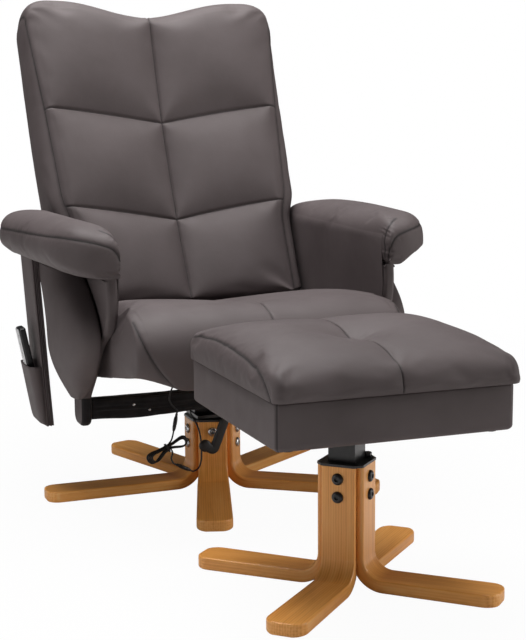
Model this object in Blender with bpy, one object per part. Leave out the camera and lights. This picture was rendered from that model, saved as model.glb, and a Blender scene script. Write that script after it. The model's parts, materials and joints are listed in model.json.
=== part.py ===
"""A reclining massage chair and its storage footstool, as an assembly of separate pieces.

Metres, +Z up. The chair faces -Y and the footstool stands in front of it. The chair's pieces
are made in a frame on the swivel axis at floor level, the footstool's in a frame on its post's
axis. An empty stands at each frame and on each joint's axis, and every piece hangs on one.
"""

import math

import bmesh
import bpy
from mathutils import Matrix, Vector

# Layout on the floor
CHAIR_X = 0.000                # swivel axis, from the middle of the set
CHAIR_Y = 0.200
STOOL_X = 0.004                # footstool's post, from the swivel axis
STOOL_Y = -0.698

# Fits
GAP = 0.0003                   # between pieces that touch or turn in each other
LEG_SEAM = 0.0008              # between a leg's mitre and the plane it shares with the next leg

# Bent laminated legs and their hubs
LEG_WIDTH = 0.070              # at the foot's end
LEG_HEEL_WIDTH = 0.066         # after the bend
LEG_TOP_WIDTH = 0.060
LEG_THICK = 0.022
LEG_NOTCH = 0.0115             # outer face beyond the mitred edge
LEG_BEND = 0.034               # inside radius of the bend
LEG_TOE = 0.026                # rounding of the foot's end
HUB_WALL = 0.004
HUB_FOOT = 0.030               # underside of both hubs
HUB_PLATE = 0.004
CORE_WALL = 0.005              # tapped core inside a hub
CORE_MARGIN = 0.012            # core above and below the bolts
BOLT_RADIUS = 0.004
BOLT_HEAD_RADIUS = 0.010
BOLT_HEAD = 0.005
BOLT_RIM = 0.6                 # share of the head below its rounding
BOLT_CROWN = 0.7               # share of the radius on top of it
BOLT_DROP = 0.0205             # leg's top to its upper bolt
BOLT_PITCH = 0.031
CHAIR_LEGS = 5
CHAIR_LEG_REACH = 0.358
CHAIR_LEG_TOP = 0.142
CHAIR_FIRST_LEG = math.radians(-18)
STOOL_LEGS = 4
STOOL_LEG_REACH = 0.274
STOOL_LEG_TOP = 0.212
STOOL_FIRST_LEG = math.radians(-45)

# Swivel
SPINDLE_RADIUS = 0.016
SPINDLE_LENGTH = 0.090
BUSH_WALL = 0.004
BUSH_FLANGE = 0.032
BUSH_FLANGE_THICK = 0.004
BUSH_LENGTH = 0.030
FRAME_PLATE_HALF = 0.048
FRAME_PLATE = 0.006

# Cross bar between the arms
BAR_Y = -0.035
BAR_DEPTH = 0.030
BAR_BOTTOM = 0.169
BAR_HEIGHT = 0.043

# Seat
SEAT_HALF = 0.267
SEAT_REAR = 0.113
SEAT_FRONT = -0.395
SEAT_REAR_TOP = 0.362
SEAT_CREST = 0.426
SEAT_CREST_Y = -0.300
SEAT_NOSE_Z = 0.345            # height of the foremost line
SEAT_UNDER = 0.2482            # underside above the swivel axis
SEAT_SLOPE = -0.1685           # underside's rise for each metre towards the rear
SEAT_EDGE = 0.022              # rounding of the sides
SEAT_PILLOW = 0.012
SEAT_TUCK = 0.022              # nose's foot behind the foremost line
SEAT_BOARD = 0.016
SEAT_BOARD_INSET = 0.020
MECHANISM_HALF = 0.045
MECHANISM_REAR = 0.095
MECHANISM_WALL = 0.004
CONTROL_INSET = 0.137          # centre of the box, from the seat's side
CONTROL_Y = 0.010
CONTROL_WIDTH = 0.100
CONTROL_DEPTH = 0.080
CONTROL_HEIGHT = 0.034
CONTROL_X = SEAT_HALF - CONTROL_INSET

# Back
BACK_SLIMMER = 0.005           # than the seat, on each side
BACK_SPREAD = 0.017            # on each side, above the arms
BACK_FLARE = 0.0105            # on each side, from there to the top
BACK_HALF_LOW = SEAT_HALF - BACK_SLIMMER
BACK_HALF_MID = BACK_HALF_LOW + BACK_SPREAD
BACK_HALF_TOP = BACK_HALF_MID + BACK_FLARE
BACK_LOW_END = 0.170           # along the centre line
BACK_MID_START = 0.250
BACK_FOOT_Y = 0.128            # foot of the front's centre line
BACK_FOOT_Z = 0.376
BACK_LENGTH = 0.680            # along the centre line, to the dip of the top edge
BACK_LEAN_LOW = math.radians(34)
BACK_LEAN_TOP = math.radians(16.5)
BACK_SEAMS = (0.195, 0.432)    # along the centre line
BACK_SEAM_RISE = 0.030         # at the sides
BACK_TOP_RISE = 0.034          # of the two lobes above the dip
BACK_LOBE_X = 0.190
BACK_CORNER = 0.060
BACK_WRAP = 0.034              # how far the sides come forward
BACK_THICK = 0.100
BACK_PILLOW = 0.020
BACK_WRAP_PHASE = 0.3          # where along the back the sides come furthest forward
BACK_WRAP_RUN = 0.8
BACK_EDGE = 0.022
BACK_BOARD = 0.015
BACK_BOARD_INSET = 0.037       # board's side from the cushion's
BACK_BOARD_HALF = BACK_HALF_LOW - BACK_BOARD_INSET
BACK_BOARD_DROP = 0.036        # board below the cushion
BACK_BOARD_SHORT = 0.060       # board's top below the dip
MOTOR_RADIUS = 0.028
MOTOR_DEPTH = 0.026
MOTOR_X = 0.110
MOTOR_S = 0.250                # along the back

# Recline hinge
PIVOT_Y = 0.147
PIVOT_Z = 0.346
HINGE_INSET = 0.020            # from the back board's side
HINGE_X = BACK_BOARD_HALF - HINGE_INSET
HINGE_PLATE = 0.004
HINGE_EAR = 0.012
HINGE_FOOT_Y = 0.030
HINGE_FOOT_DEPTH = 0.008
HINGE_REAR_GAP = 0.003         # seat cushion to the upright
SHAFT_RADIUS = 0.005
SHAFT_OVERHANG = 0.010

# Arms
ARM_CLEAR = 0.003              # seat to arm board
ARM_INNER = SEAT_HALF + ARM_CLEAR
ARM_BOARD = 0.022
ARM_TOP = 0.485                # underside of the pad
TONGUE_FRONT = -0.055          # the board's narrow foot, which holds the cross bar
TONGUE_REAR = 0.012
TONGUE_BOTTOM = 0.155
TONGUE_TOP = 0.215
BOARD_EDGE = (                 # Y and Z of the board's front and rear edges between pad and foot
    ((-0.285, 0.4847), (-0.240, 0.385), (-0.232, 0.350), (-0.188, 0.295), (-0.128, 0.250)),
    ((0.050, 0.300), (0.130, 0.400), (0.215, 0.4847)),
)
PANEL_THICK = 0.062
PANEL_FOOT = 0.35              # share of the thickness at the foot
PANEL_GROWTH = 0.75            # how fast the panel thickens above it
PANEL_ROUND = 0.6              # squareness of its outer face: less is squarer
PANEL_EDGE = (                 # the padded panel's height, front and rear
    (0.2140, -0.052, 0.006), (0.2200, -0.076, 0.008), (0.2500, -0.140, 0.012), (0.2900, -0.197, 0.018),
    (0.3300, -0.236, 0.026), (0.3650, -0.246, 0.034), (0.4000, -0.226, 0.046), (0.4350, -0.182, 0.062),
    (0.4650, -0.130, 0.082), (0.4847, -0.100, 0.100),
)
PAD_WIDTH = 0.122
PAD_HEIGHT = 0.097
PAD_FALL = 0.009               # crown lower at the rear
PAD_OUT = 0.040                # pad's middle from the board's inner face, at its front
PAD_CENTRE = ARM_INNER + PAD_OUT
PAD_SPLAY = 0.034              # outward, reached where the back begins
PAD_SPLAY_END = 0.130
PAD_FRONT = -0.292
PAD_REAR = 0.262
PAD_NOSE = 0.075
PAD_TAIL = 0.130
PAD_TIP_WIDTH = 0.3            # shares of the pad's width and height at its ends
PAD_TIP_HEIGHT = 0.45
PAD_LIFT = 0.45                # share of the lost height that comes off below
PAD_WAIST = 0.42               # height of the widest line, as a share
PAD_ROUND = 0.75               # squareness of the pad's section

# Side pocket and remote control
FLAP_OUT = 0.1015              # outer face from the board's inner face, under the pad
FLAP_TOP_X = ARM_INNER + FLAP_OUT
FLAP_THICK = 0.0155            # two leather layers with their padding
FLAP_LEAN = math.radians(3.6)
FLAP_FRONT = 0.000
FLAP_WIDTH = 0.104
FLAP_BOTTOM = 0.152
LEATHER = 0.0025
POUCH_MOUTH = 0.274
POUCH_MOUTH_DEPTH = 0.025
POUCH_FOOT_DEPTH = 0.010
REMOTE_LENGTH = 0.128
REMOTE_WIDTH = 0.036
REMOTE_THICK = 0.014
REMOTE_EDGE = 0.003
REMOTE_Z = 0.2235              # foot of the remote in the pouch
REMOTE_LEAN = math.radians(11)
REMOTE_LIFT = 0.0007           # clear of the pouch's walls
BUTTON_NAMES = ("power", "mode", "heat")
BUTTON_RADIUS = 0.0055
BUTTON_PROUD = 0.0018
BUTTON_ROOT = 0.0030
BUTTON_TRAVEL = 0.0012
BUTTON_DROP = 0.018            # remote's top to its first button
BUTTON_PITCH = 0.019

# Recline lever
LEVER_X = -0.010
LEVER_Z = 0.1635
LEVER_FRONT = -0.119
LEVER_THICK = 0.011
LEVER_WIDTH = 0.019
LEVER_ELBOW = (-0.036, 0.098)  # X and Z
LEVER_KNOB = (-0.054, 0.110)
LEVER_KNOB_RADIUS = 0.0125
LEVER_SHAFT_RADIUS = 0.004
LEVER_SHAFT_INSIDE = 0.005

# Footstool box and lid
POST_SIDE = 0.048
POST_WALL = 0.0025
BOX_X = 0.409
BOX_Y = 0.404
BOX_BOTTOM = 0.292
BOX_TOP = 0.368
BOX_WALL = 0.016
BOX_FLOOR = 0.008
BOX_PLATE_HALF = 0.080
BOX_PLATE = 0.005
GLIDE_RADIUS = 0.011
GLIDE_HEIGHT = 0.004
GLIDE_INSET = 0.029
LID_GAP = 0.002
LID_SIDE = 0.003               # lid's overhang at the sides, the front and the hinge
LID_FRONT = 0.014
LID_REAR = 0.003
LID_EDGE = 0.046               # height of the lid's sides
LID_CROWN = 0.034
LID_TUFT = 0.013
LID_TUFT_REACH = 0.045
LID_SEAM = 0.006               # depth of the seam beside the tuft
LID_SEAM_REACH = 0.022
LID_ROUND = 0.016
LID_BELLY = 0.003              # swell of the lid's sides
LID_BOARD = 0.012
LID_BOARD_INSET = 0.010        # inside the box's outline
LEAF = 0.0012                  # hinge leaf's sheet
LEAF_HALF = 0.150
LEAF_DROP = 0.030
KNUCKLE = 0.052                # half length of the middle knuckle
KNUCKLE_GAP = 0.001
PIN_RADIUS = 0.0015
PIN_CLEAR = 0.0003

# Lead under the seat: its places are in the chair's frame
CORD = 0.0034
GRIP_RADIUS = 0.0042
GRIP_NECK = 0.0026
GRIP_SHOULDER = 0.85           # share of the radius near the plug's ends
CORD_STEP = 0.0095
UPPER_LEAD = (
    (-0.1010, -0.0660, 0.2380), (-0.1090, -0.0640, 0.2180), (-0.1120, -0.0610, 0.2010),
    (-0.1050, -0.0585, 0.1860),
)
UPPER_LEAD_START = (-0.098, -0.064)
UPPER_PLUG = ((-0.0965, -0.0600, 0.1690), (-0.1060, -0.0680, 0.1355))
HANK_TURNS = 3.5
HANK_CENTRE = (-0.1255, -0.0860, 0.1060)
HANK_LENGTH = 0.047            # of a lobe, from the waist
HANK_TAPER = 0.0025            # lost in each turn
HANK_SPREAD = 0.028
HANK_WAIST = 0.0027
HANK_PITCH = 0.0042            # depth gained in each turn
HANK_TILT_LEFT = math.radians(34)
HANK_TILT_RIGHT = math.radians(17)
HANK_LOOP_POINTS = 24
HANK_START = 0.23              # turns, where the loops take over from the lead
HANK_END = 0.27
HANK_HEAD = (-0.1130, -0.0740, 0.1180)
HANK_TAIL = ((-0.1165, -0.0940, 0.0965), (-0.1200, -0.0945, 0.0850))
STRAIGHT_END = 2 * CORD        # where the lead meets a piece
TIE_LENGTH = 0.004
TIE_WALL = 0.0012
TIE_CLEAR = 0.0007
LOWER_PLUG = ((-0.1090, -0.0945, 0.0715), (-0.0800, -0.0945, 0.0570))
LOWER_LEAD = (
    (-0.0630, -0.0945, 0.0590), (-0.0565, -0.0942, 0.0740), (-0.0550, -0.0925, 0.0950),
    (-0.0545, -0.0890, 0.1150), (-0.0560, -0.0820, 0.1340),
    (-0.0585, -0.0660, 0.1500),
)
LOWER_LEAD_END = (-0.0600, -0.0400)

# Steps of the round and soft forms
ROUND = 20
PANEL_STEP = 0.030
SMALL_ROUND = 10
BEND_STEPS = 5
BACK_BOARD_STEPS = 24           # close, so that the board lies behind the cushion without touching
EDGE_STEPS = 3
SWELL_ROUND = 0.7              # fullness of a stuffed panel: less is fuller

# Finishes: colour, roughness, metallic
FINISHES = {
    "leather": ((0.060, 0.052, 0.050), 0.48, 0.0),
    "oak": ((0.560, 0.290, 0.105), 0.42, 0.0),
    "plywood": ((0.520, 0.390, 0.240), 0.60, 0.0),
    "black_steel": ((0.016, 0.016, 0.017), 0.45, 0.6),
    "bright_steel": ((0.560, 0.560, 0.570), 0.28, 1.0),
    "black_plastic": ((0.014, 0.014, 0.015), 0.40, 0.0),
    "black_fabric": ((0.012, 0.011, 0.012), 0.85, 0.0),
    "silver_plastic": ((0.620, 0.630, 0.640), 0.35, 0.0),
    "cord": ((0.011, 0.011, 0.012), 0.50, 0.0),
}


# Meshes

def make_mesh(points, faces):
    """A closed mesh with its faces turned outwards."""
    mesh = bpy.data.meshes.new("mesh")
    mesh.from_pydata([tuple(point) for point in points], [], faces)
    work = bmesh.new()
    work.from_mesh(mesh)
    bmesh.ops.recalc_face_normals(work, faces=work.faces)
    work.to_mesh(mesh)
    work.free()
    return mesh


def loft(rings):
    """Skin over rings of equal length, closed by a flat face at each end."""
    count = len(rings[0])
    points = [point for ring in rings for point in ring]
    faces = [list(range(count)), list(range(len(points) - count, len(points)))]
    for row in range(len(rings) - 1):
        for i in range(count):
            j = (i + 1) % count
            faces.append([row * count + i, row * count + j, (row + 1) * count + j, (row + 1) * count + i])
    return make_mesh(points, faces)


def ring_round(rings):
    """Skin over rings that come back to the first one."""
    count = len(rings[0])
    points = [point for ring in rings for point in ring]
    faces = []
    for row in range(len(rings)):
        after = (row + 1) % len(rings)
        for i in range(count):
            j = (i + 1) % count
            faces.append([row * count + i, row * count + j, after * count + j, after * count + i])
    return make_mesh(points, faces)


def prism(outline, low, high, along):
    """An outline in the plane across one axis, extruded along that axis from low to high."""
    place = {
        "x": lambda point, at: (at, point[0], point[1]),
        "y": lambda point, at: (point[0], at, point[1]),
        "z": lambda point, at: (point[0], point[1], at),
    }[along]
    return loft([[place(point, at) for point in outline] for at in (low, high)])


def rectangle(low, high):
    return [low, (high[0], low[1]), high, (low[0], high[1])]


def block(low, high):
    return prism(rectangle(low[:2], high[:2]), low[2], high[2], "z")


def arc(centre, radius, start, end, steps):
    """Points along an arc, both ends included. Angles in degrees."""
    points = []
    for i in range(steps + 1):
        angle = math.radians(start + (end - start) * i / steps)
        points.append((centre[0] + radius * math.cos(angle), centre[1] + radius * math.sin(angle)))
    return points


def turned(profile, steps, phase=0.0):
    """A closed profile of (radius, z) turned about Z."""
    rings = []
    for i in range(steps):
        angle = phase + 2 * math.pi * i / steps
        rings.append([(r * math.cos(angle), r * math.sin(angle), z) for r, z in profile])
    return ring_round(rings)


def rod(start, end, radii, steps):
    """A round bar from start to end. radii lists (share of the length, radius)."""
    start = Vector(start)
    axis = Vector(end) - start
    side = axis.cross(Vector((0.0, 0.0, 1.0)))
    if side.length < 1e-6:
        side = Vector((1.0, 0.0, 0.0))
    side.normalize()
    other = axis.cross(side).normalized()
    rings = []
    for share, radius in radii:
        ring = []
        for i in range(steps):
            angle = 2 * math.pi * i / steps
            outward = side * math.cos(angle) + other * math.sin(angle)
            ring.append(start + axis * share + outward * radius)
        rings.append(ring)
    return loft(rings)


def cylinder(start, end, radius, steps):
    return rod(start, end, ((0, radius), (1, radius)), steps)


def together(meshes):
    """Several meshes as one."""
    work = bmesh.new()
    for mesh in meshes:
        work.from_mesh(mesh)
    joined = bpy.data.meshes.new("mesh")
    work.to_mesh(joined)
    work.free()
    return joined


def carve(mesh, tool_mesh, operation="DIFFERENCE"):
    """The mesh after an exact Boolean with the tool."""
    body = bpy.data.objects.new("carved", mesh)
    tool = bpy.data.objects.new("tool", tool_mesh)
    for thing in (body, tool):
        bpy.context.scene.collection.objects.link(thing)
    step = body.modifiers.new("carve", "BOOLEAN")
    step.operation = operation
    step.object = tool
    step.solver = "EXACT"
    evaluated = body.evaluated_get(bpy.context.evaluated_depsgraph_get())
    result = bpy.data.meshes.new_from_object(evaluated)
    for thing in (body, tool):
        bpy.data.objects.remove(thing)
    return result


def ribbon(path, width):
    """Outline of a strip of even width along a path."""
    left = []
    right = []
    for i, point in enumerate(path):
        before = Vector(path[max(i - 1, 0)])
        after = Vector(path[min(i + 1, len(path) - 1)])
        way = (after - before).normalized()
        across = Vector((-way.y, way.x)) * width / 2
        left.append(tuple(Vector(point) + across))
        right.append(tuple(Vector(point) - across))
    return left + right[::-1]


def inset(loop, amount):
    """A closed outline drawn inwards by an even amount."""
    count = len(loop)
    area = sum(loop[i - 1][0] * loop[i][1] - loop[i][0] * loop[i - 1][1] for i in range(count))
    turn = 1 if area > 0 else -1
    drawn = []
    for i in range(count):
        before = Vector(loop[i - 1])
        after = Vector(loop[(i + 1) % count])
        way = (after - before).normalized()
        drawn.append((loop[i][0] - turn * way.y * amount, loop[i][1] + turn * way.x * amount))
    return drawn


def stations(half, edge, inner):
    """Places across a cushion with how far its outline is drawn in: round edges, even middle."""
    rounding = []
    for i in range(EDGE_STEPS):
        angle = math.pi / 2 * i / EDGE_STEPS
        rounding.append((half - edge + edge * math.cos(angle), edge * (1 - math.sin(angle))))
    flat = half - edge
    middle = [(-flat + 2 * flat * i / (inner - 1), 0.0) for i in range(inner)]
    left = [(-x, drawn) for x, drawn in rounding]
    return left + middle + rounding[::-1]


def swell(share):
    """Rise of a stuffed panel from its seam at 0 to its seam at 1."""
    return max(0.0, math.sin(math.pi * share)) ** SWELL_ROUND


def smooth_route(route, step):
    """Points at even steps along a smooth curve through the route's own points."""
    points = [Vector(point) for point in route]
    points = [2 * points[0] - points[1]] + points + [2 * points[-1] - points[-2]]
    curve = []
    for a, b, c, d in zip(points, points[1:], points[2:], points[3:]):
        count = max(1, round((c - b).length / step))
        for i in range(count):
            t = i / count
            curve.append(0.5 * (2 * b + (c - a) * t + (2 * a - 5 * b + 4 * c - d) * t * t
                                + (3 * b - a - 3 * c + d) * t ** 3))
    return curve + [points[-2]]


# Objects

homes = {}


def clear_scene():
    for thing in list(bpy.data.objects):
        bpy.data.objects.remove(thing, do_unlink=True)


def add_home(name, at, frame=None):
    """An empty for pieces to hang on. at is in the chair's or the footstool's own frame."""
    place = Vector(at)
    home = bpy.data.objects.new(name, None)
    bpy.context.scene.collection.objects.link(home)
    if frame:
        home.parent = homes[frame][0]
        home.location = place - homes[frame][1]
        homes[name] = (home, place)
    else:
        home.location = place
        homes[name] = (home, Vector((0.0, 0.0, 0.0)))


def finish_material(finish):
    if finish in bpy.data.materials:
        return bpy.data.materials[finish]
    colour, roughness, metallic = FINISHES[finish]
    material = bpy.data.materials.new(finish)
    material.use_nodes = True
    shader = material.node_tree.nodes["Principled BSDF"]
    shader.inputs["Base Color"].default_value = (*colour, 1.0)
    shader.inputs["Roughness"].default_value = roughness
    shader.inputs["Metallic"].default_value = metallic
    return material


def add_piece(name, data, finish, home, turn=0.0):
    """One sub-part, made in its frame's coordinates and hung on its home."""
    parent, offset = homes[home]
    if isinstance(data, bpy.types.Mesh) and offset.length > 0:
        data.transform(Matrix.Translation(-offset))
    piece = bpy.data.objects.new(name, data)
    piece.parent = parent
    piece.rotation_euler = (0.0, 0.0, turn)
    data.materials.clear()
    data.materials.append(finish_material(finish))
    if isinstance(data, bpy.types.Mesh):
        data.shade_smooth()
        data.set_sharp_from_angle(angle=math.radians(35))
    bpy.context.scene.collection.objects.link(piece)
    return piece


def add_cord(name, points, home, sides):
    """A cord's stretch as a round tube along its points."""
    curve = bpy.data.curves.new(name, "CURVE")
    curve.dimensions = "3D"
    curve.bevel_depth = CORD / 2
    curve.bevel_resolution = sides
    curve.use_fill_caps = True
    spline = curve.splines.new("POLY")
    spline.points.add(len(points) - 1)
    for target, point in zip(spline.points, points):
        target.co = (*point, 1.0)
    add_piece(name, curve, "cord", home)


# Legs and hubs

def leg_outer(legs):
    """Outer face of a leg's upright part, from the axis."""
    return LEG_TOP_WIDTH / 2 / math.tan(math.pi / legs) + LEG_NOTCH


def hub_apothem(legs):
    """Middle of a hub's flat side, from the axis."""
    return leg_outer(legs) - LEG_THICK - GAP


def bolt_heights(top):
    return top - BOLT_DROP - BOLT_PITCH, top - BOLT_DROP


def leg_mesh(legs, top, reach):
    """A bent leg that points along +X, mitred beside its neighbours, with its two bolt holes."""
    inner = leg_outer(legs) - LEG_THICK
    half = LEG_THICK / 2
    bend_x = inner + LEG_THICK + LEG_BEND
    bend_z = LEG_THICK + LEG_BEND
    spine = [(inner + half, top, 0.0)]
    widths = [LEG_TOP_WIDTH / 2]
    for i in range(BEND_STEPS + 1):
        angle = math.pi / 2 * i / BEND_STEPS
        radius = LEG_BEND + half
        spine.append((bend_x - radius * math.cos(angle), bend_z - radius * math.sin(angle), angle))
        widths.append((LEG_TOP_WIDTH + (LEG_HEEL_WIDTH - LEG_TOP_WIDTH) * i / BEND_STEPS) / 2)
    for i in range(BEND_STEPS + 1):
        angle = math.pi / 2 * i / BEND_STEPS
        spine.append((reach - LEG_TOE + LEG_TOE * math.sin(angle), half, math.pi / 2))
        widths.append(LEG_WIDTH / 2 - LEG_TOE * (1 - math.cos(angle)))
    rings = []
    for (x, z, angle), width in zip(spine, widths):
        out_x = math.cos(angle) * half
        out_z = math.sin(angle) * half
        rings.append([(x - out_x, -width, z - out_z), (x + out_x, -width, z + out_z),
                      (x + out_x, width, z + out_z), (x - out_x, width, z - out_z)])
    drills = [cylinder((inner - half, 0, z), (inner + LEG_THICK + half, 0, z), BOLT_RADIUS + GAP, SMALL_ROUND)
              for z in bolt_heights(top)]
    spread = math.tan(math.pi / legs)
    seam = LEG_SEAM / 2 / math.sin(math.pi / legs)
    far = 2 * reach
    wedge = prism([(seam, 0), (far, (seam - far) * spread), (far, (far - seam) * spread)], -top, 2 * top, "z")
    return carve(carve(loft(rings), wedge, "INTERSECT"), together(drills))


def leg_angles(legs, first):
    """Directions of the legs, turned from +X so that the first one points at its angle from -Y."""
    return [first - math.pi / 2 + 2 * math.pi * i / legs for i in range(legs)]


def around(mesh, angles):
    """Copies of a mesh turned about Z, as one mesh."""
    copies = []
    for angle in angles:
        copy = mesh.copy()
        copy.transform(Matrix.Rotation(angle, 4, "Z"))
        copies.append(copy)
    return together(copies)


def many_sided(legs, inner, outer, low, high, phase):
    """A tube with as many flat sides as legs, one facing each leg."""
    corner = math.cos(math.pi / legs)
    profile = [(outer / corner, low), (outer / corner, high), (inner / corner, high), (inner / corner, low)]
    return turned(profile, legs, phase + math.pi / legs)


def add_base(prefix, legs, first, top, reach, home):
    """Hub, legs, bolts with their tapped core, and the plate on top, of one base."""
    angles = leg_angles(legs, first)
    apothem = hub_apothem(legs)
    low, high = bolt_heights(top)
    reach_in = apothem - HUB_WALL - GAP - CORE_WALL / 2
    head = leg_outer(legs) + GAP
    holes = [cylinder((reach_in, 0, z), (apothem + HUB_WALL, 0, z), BOLT_RADIUS + GAP, SMALL_ROUND)
             for z in (low, high)]
    hub = many_sided(legs, apothem - HUB_WALL, apothem, HUB_FOOT, top, angles[0])
    add_piece(prefix + "_hub", carve(hub, around(together(holes), angles)), "black_steel", home)
    leg = leg_mesh(legs, top, reach)
    for number, angle in enumerate(angles, 1):
        add_piece(f"{prefix}_leg_{number}", leg, "oak", home, angle)
    bolts = []
    for z in (low, high):
        bolts.append(cylinder((reach_in, 0, z), (head + BOLT_HEAD / 2, 0, z), BOLT_RADIUS, SMALL_ROUND))
        bolts.append(rod((head, 0, z), (head + BOLT_HEAD, 0, z),
                         ((0, BOLT_HEAD_RADIUS), (BOLT_RIM, BOLT_HEAD_RADIUS),
                          (1, BOLT_HEAD_RADIUS * BOLT_CROWN)),
                         SMALL_ROUND + 2))
    core_out = apothem - HUB_WALL - GAP
    core = many_sided(legs, core_out - CORE_WALL, core_out, low - CORE_MARGIN, high + CORE_MARGIN, angles[0])
    core = carve(core, around(together(bolts[0::2]), angles), "UNION")
    core = carve(core, around(together(bolts[1::2]), angles), "UNION")
    add_piece(prefix + "_bolt_core", core, "bright_steel" if prefix == "chair" else "black_steel", home)
    outline = []
    for angle in angles:
        for side in (-1, 1):
            corner = Vector((leg_outer(legs), side * LEG_TOP_WIDTH / 2))
            corner.rotate(Matrix.Rotation(angle, 2))
            outline.append(tuple(corner))
    return prism(outline, top + GAP, top + GAP + HUB_PLATE, "z")


def plate_top(top):
    return top + GAP + HUB_PLATE


# Swivel and frame

BUSH_TOP = plate_top(CHAIR_LEG_TOP) + GAP + BUSH_FLANGE_THICK
FRAME_TOP = BUSH_TOP + GAP + FRAME_PLATE
BAR_REAR = BAR_Y + BAR_DEPTH / 2


def seat_under(y):
    """Height of the seat's underside."""
    return SEAT_UNDER + SEAT_SLOPE * y


def add_swivel(hub_plate):
    bore = SPINDLE_RADIUS + GAP + BUSH_WALL + GAP
    drill = cylinder((0, 0, 0), (0, 0, BUSH_TOP), bore, ROUND)
    add_piece("chair_hub_plate", carve(hub_plate, drill), "black_steel", "chair")
    inside = SPINDLE_RADIUS + GAP
    outside = inside + BUSH_WALL
    low = BUSH_TOP - BUSH_FLANGE_THICK - BUSH_LENGTH
    shoulder = BUSH_TOP - BUSH_FLANGE_THICK
    bush = [(inside, low), (outside, low), (outside, shoulder), (BUSH_FLANGE, shoulder),
            (BUSH_FLANGE, BUSH_TOP), (inside, BUSH_TOP)]
    add_piece("swivel_bush", turned(bush, ROUND), "black_plastic", "chair")
    spindle = cylinder((0, 0, BUSH_TOP - SPINDLE_LENGTH), (0, 0, BUSH_TOP), SPINDLE_RADIUS, ROUND)
    add_piece("swivel_spindle", spindle, "bright_steel", "swivel")
    half = FRAME_PLATE_HALF
    plate = block((-half, -half, BUSH_TOP + GAP), (half, half, FRAME_TOP))
    add_piece("frame_plate", plate, "black_steel", "swivel")


def mechanism_outline(wall, foot):
    """Side outline of the recline mechanism's housing, drawn in by a wall."""
    front = BAR_REAR + GAP + wall
    rear = MECHANISM_REAR - wall
    roof = GAP + wall
    return [(front, foot), (rear, foot), (rear, seat_under(rear) - roof), (front, seat_under(front) - roof)]


def add_mechanism():
    shell = prism(mechanism_outline(0.0, FRAME_TOP + GAP), -MECHANISM_HALF, MECHANISM_HALF, "x")
    hollow = prism(mechanism_outline(MECHANISM_WALL, FRAME_TOP - GAP),
                   MECHANISM_WALL - MECHANISM_HALF, MECHANISM_HALF - MECHANISM_WALL, "x")
    shell = carve(shell, hollow)
    front = BAR_REAR + GAP
    hole = cylinder((LEVER_X, front - MECHANISM_WALL, LEVER_Z),
                    (LEVER_X, front + 2 * MECHANISM_WALL, LEVER_Z),
                    LEVER_SHAFT_RADIUS + GAP, SMALL_ROUND)
    add_piece("recline_mechanism", carve(shell, hole), "black_steel", "swivel")
    end = ARM_INNER - GAP
    low = (-end, BAR_Y - BAR_DEPTH / 2, BAR_BOTTOM)
    high = (end, BAR_REAR, BAR_BOTTOM + BAR_HEIGHT)
    add_piece("cross_bar", block(low, high), "black_fabric", "swivel")


def add_lever():
    """Bent lever with a round knob, on a shaft that enters the mechanism."""
    elbow = Vector(LEVER_ELBOW)
    top = Vector((LEVER_X, LEVER_Z))
    knob = Vector(LEVER_KNOB)
    back = LEVER_FRONT + LEVER_THICK
    parts = []
    for a, b, width in ((top, elbow, LEVER_WIDTH), (elbow, knob, LEVER_WIDTH)):
        angle = math.degrees(math.atan2(b.y - a.y, b.x - a.x))
        outline = arc(b, width / 2, angle - 90, angle + 90, BEND_STEPS)
        outline += arc(a, width / 2, angle + 90, angle + 270, BEND_STEPS)
        parts.append(prism(outline, LEVER_FRONT, back, "y"))
    parts[1].transform(Matrix.Translation((0, GAP, 0)))
    knob_mesh = cylinder((knob.x, LEVER_FRONT - GAP, knob.y), (knob.x, back - GAP, knob.y),
                         LEVER_KNOB_RADIUS, SMALL_ROUND + 2)
    shaft = cylinder((LEVER_X, back - LEVER_THICK / 2, LEVER_Z),
                     (LEVER_X, BAR_REAR + GAP + MECHANISM_WALL + LEVER_SHAFT_INSIDE, LEVER_Z),
                     LEVER_SHAFT_RADIUS, SMALL_ROUND)
    lever = parts[0]
    for part in (parts[1], knob_mesh, shaft):
        lever = carve(lever, part, "UNION")
    add_piece("recline_lever", lever, "black_plastic", "lever")


# Seat

def seat_loop(x, drawn):
    """Side outline of the seat cushion at one place across it, from the rear foot round the front."""
    half = SEAT_HALF - SEAT_EDGE
    rise = SEAT_PILLOW * swell(min(1.0, abs(x) / half))
    nose_foot = SEAT_FRONT + SEAT_TUCK
    loop = [(y, seat_under(y)) for y in (SEAT_REAR, 0.0, SEAT_CREST_Y / 2, nose_foot)]
    for i in range(1, 4):
        angle = math.pi / 2 * (1 - i / 3)
        low = seat_under(nose_foot)
        loop.append((nose_foot - (nose_foot - SEAT_FRONT) * math.cos(angle),
                     SEAT_NOSE_Z - (SEAT_NOSE_Z - low) * math.sin(angle)))
    for i in range(1, 8):
        angle = math.pi / 2 * i / 7
        loop.append((SEAT_CREST_Y - (SEAT_CREST_Y - SEAT_FRONT) * math.cos(angle),
                     SEAT_NOSE_Z + (SEAT_CREST - SEAT_NOSE_Z) * math.sin(angle) + rise * math.sin(angle)))
    for i in range(1, 10):
        t = i / 9
        y = SEAT_CREST_Y + (SEAT_REAR - SEAT_CREST_Y) * t
        loop.append((y, SEAT_CREST + (SEAT_REAR_TOP - SEAT_CREST) * t + rise * (1 - t ** 4)))
    loop.append((SEAT_REAR, (SEAT_REAR_TOP + seat_under(SEAT_REAR)) / 2))
    return inset(loop, drawn)


def seat_board_outline(grow):
    front = SEAT_FRONT + SEAT_EDGE + SEAT_BOARD_INSET - grow
    rear = SEAT_REAR - SEAT_BOARD_INSET + grow
    return [(front, seat_under(front)), (rear, seat_under(rear)),
            (rear, seat_under(rear) + SEAT_BOARD + grow), (front, seat_under(front) + SEAT_BOARD + grow)]


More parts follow.
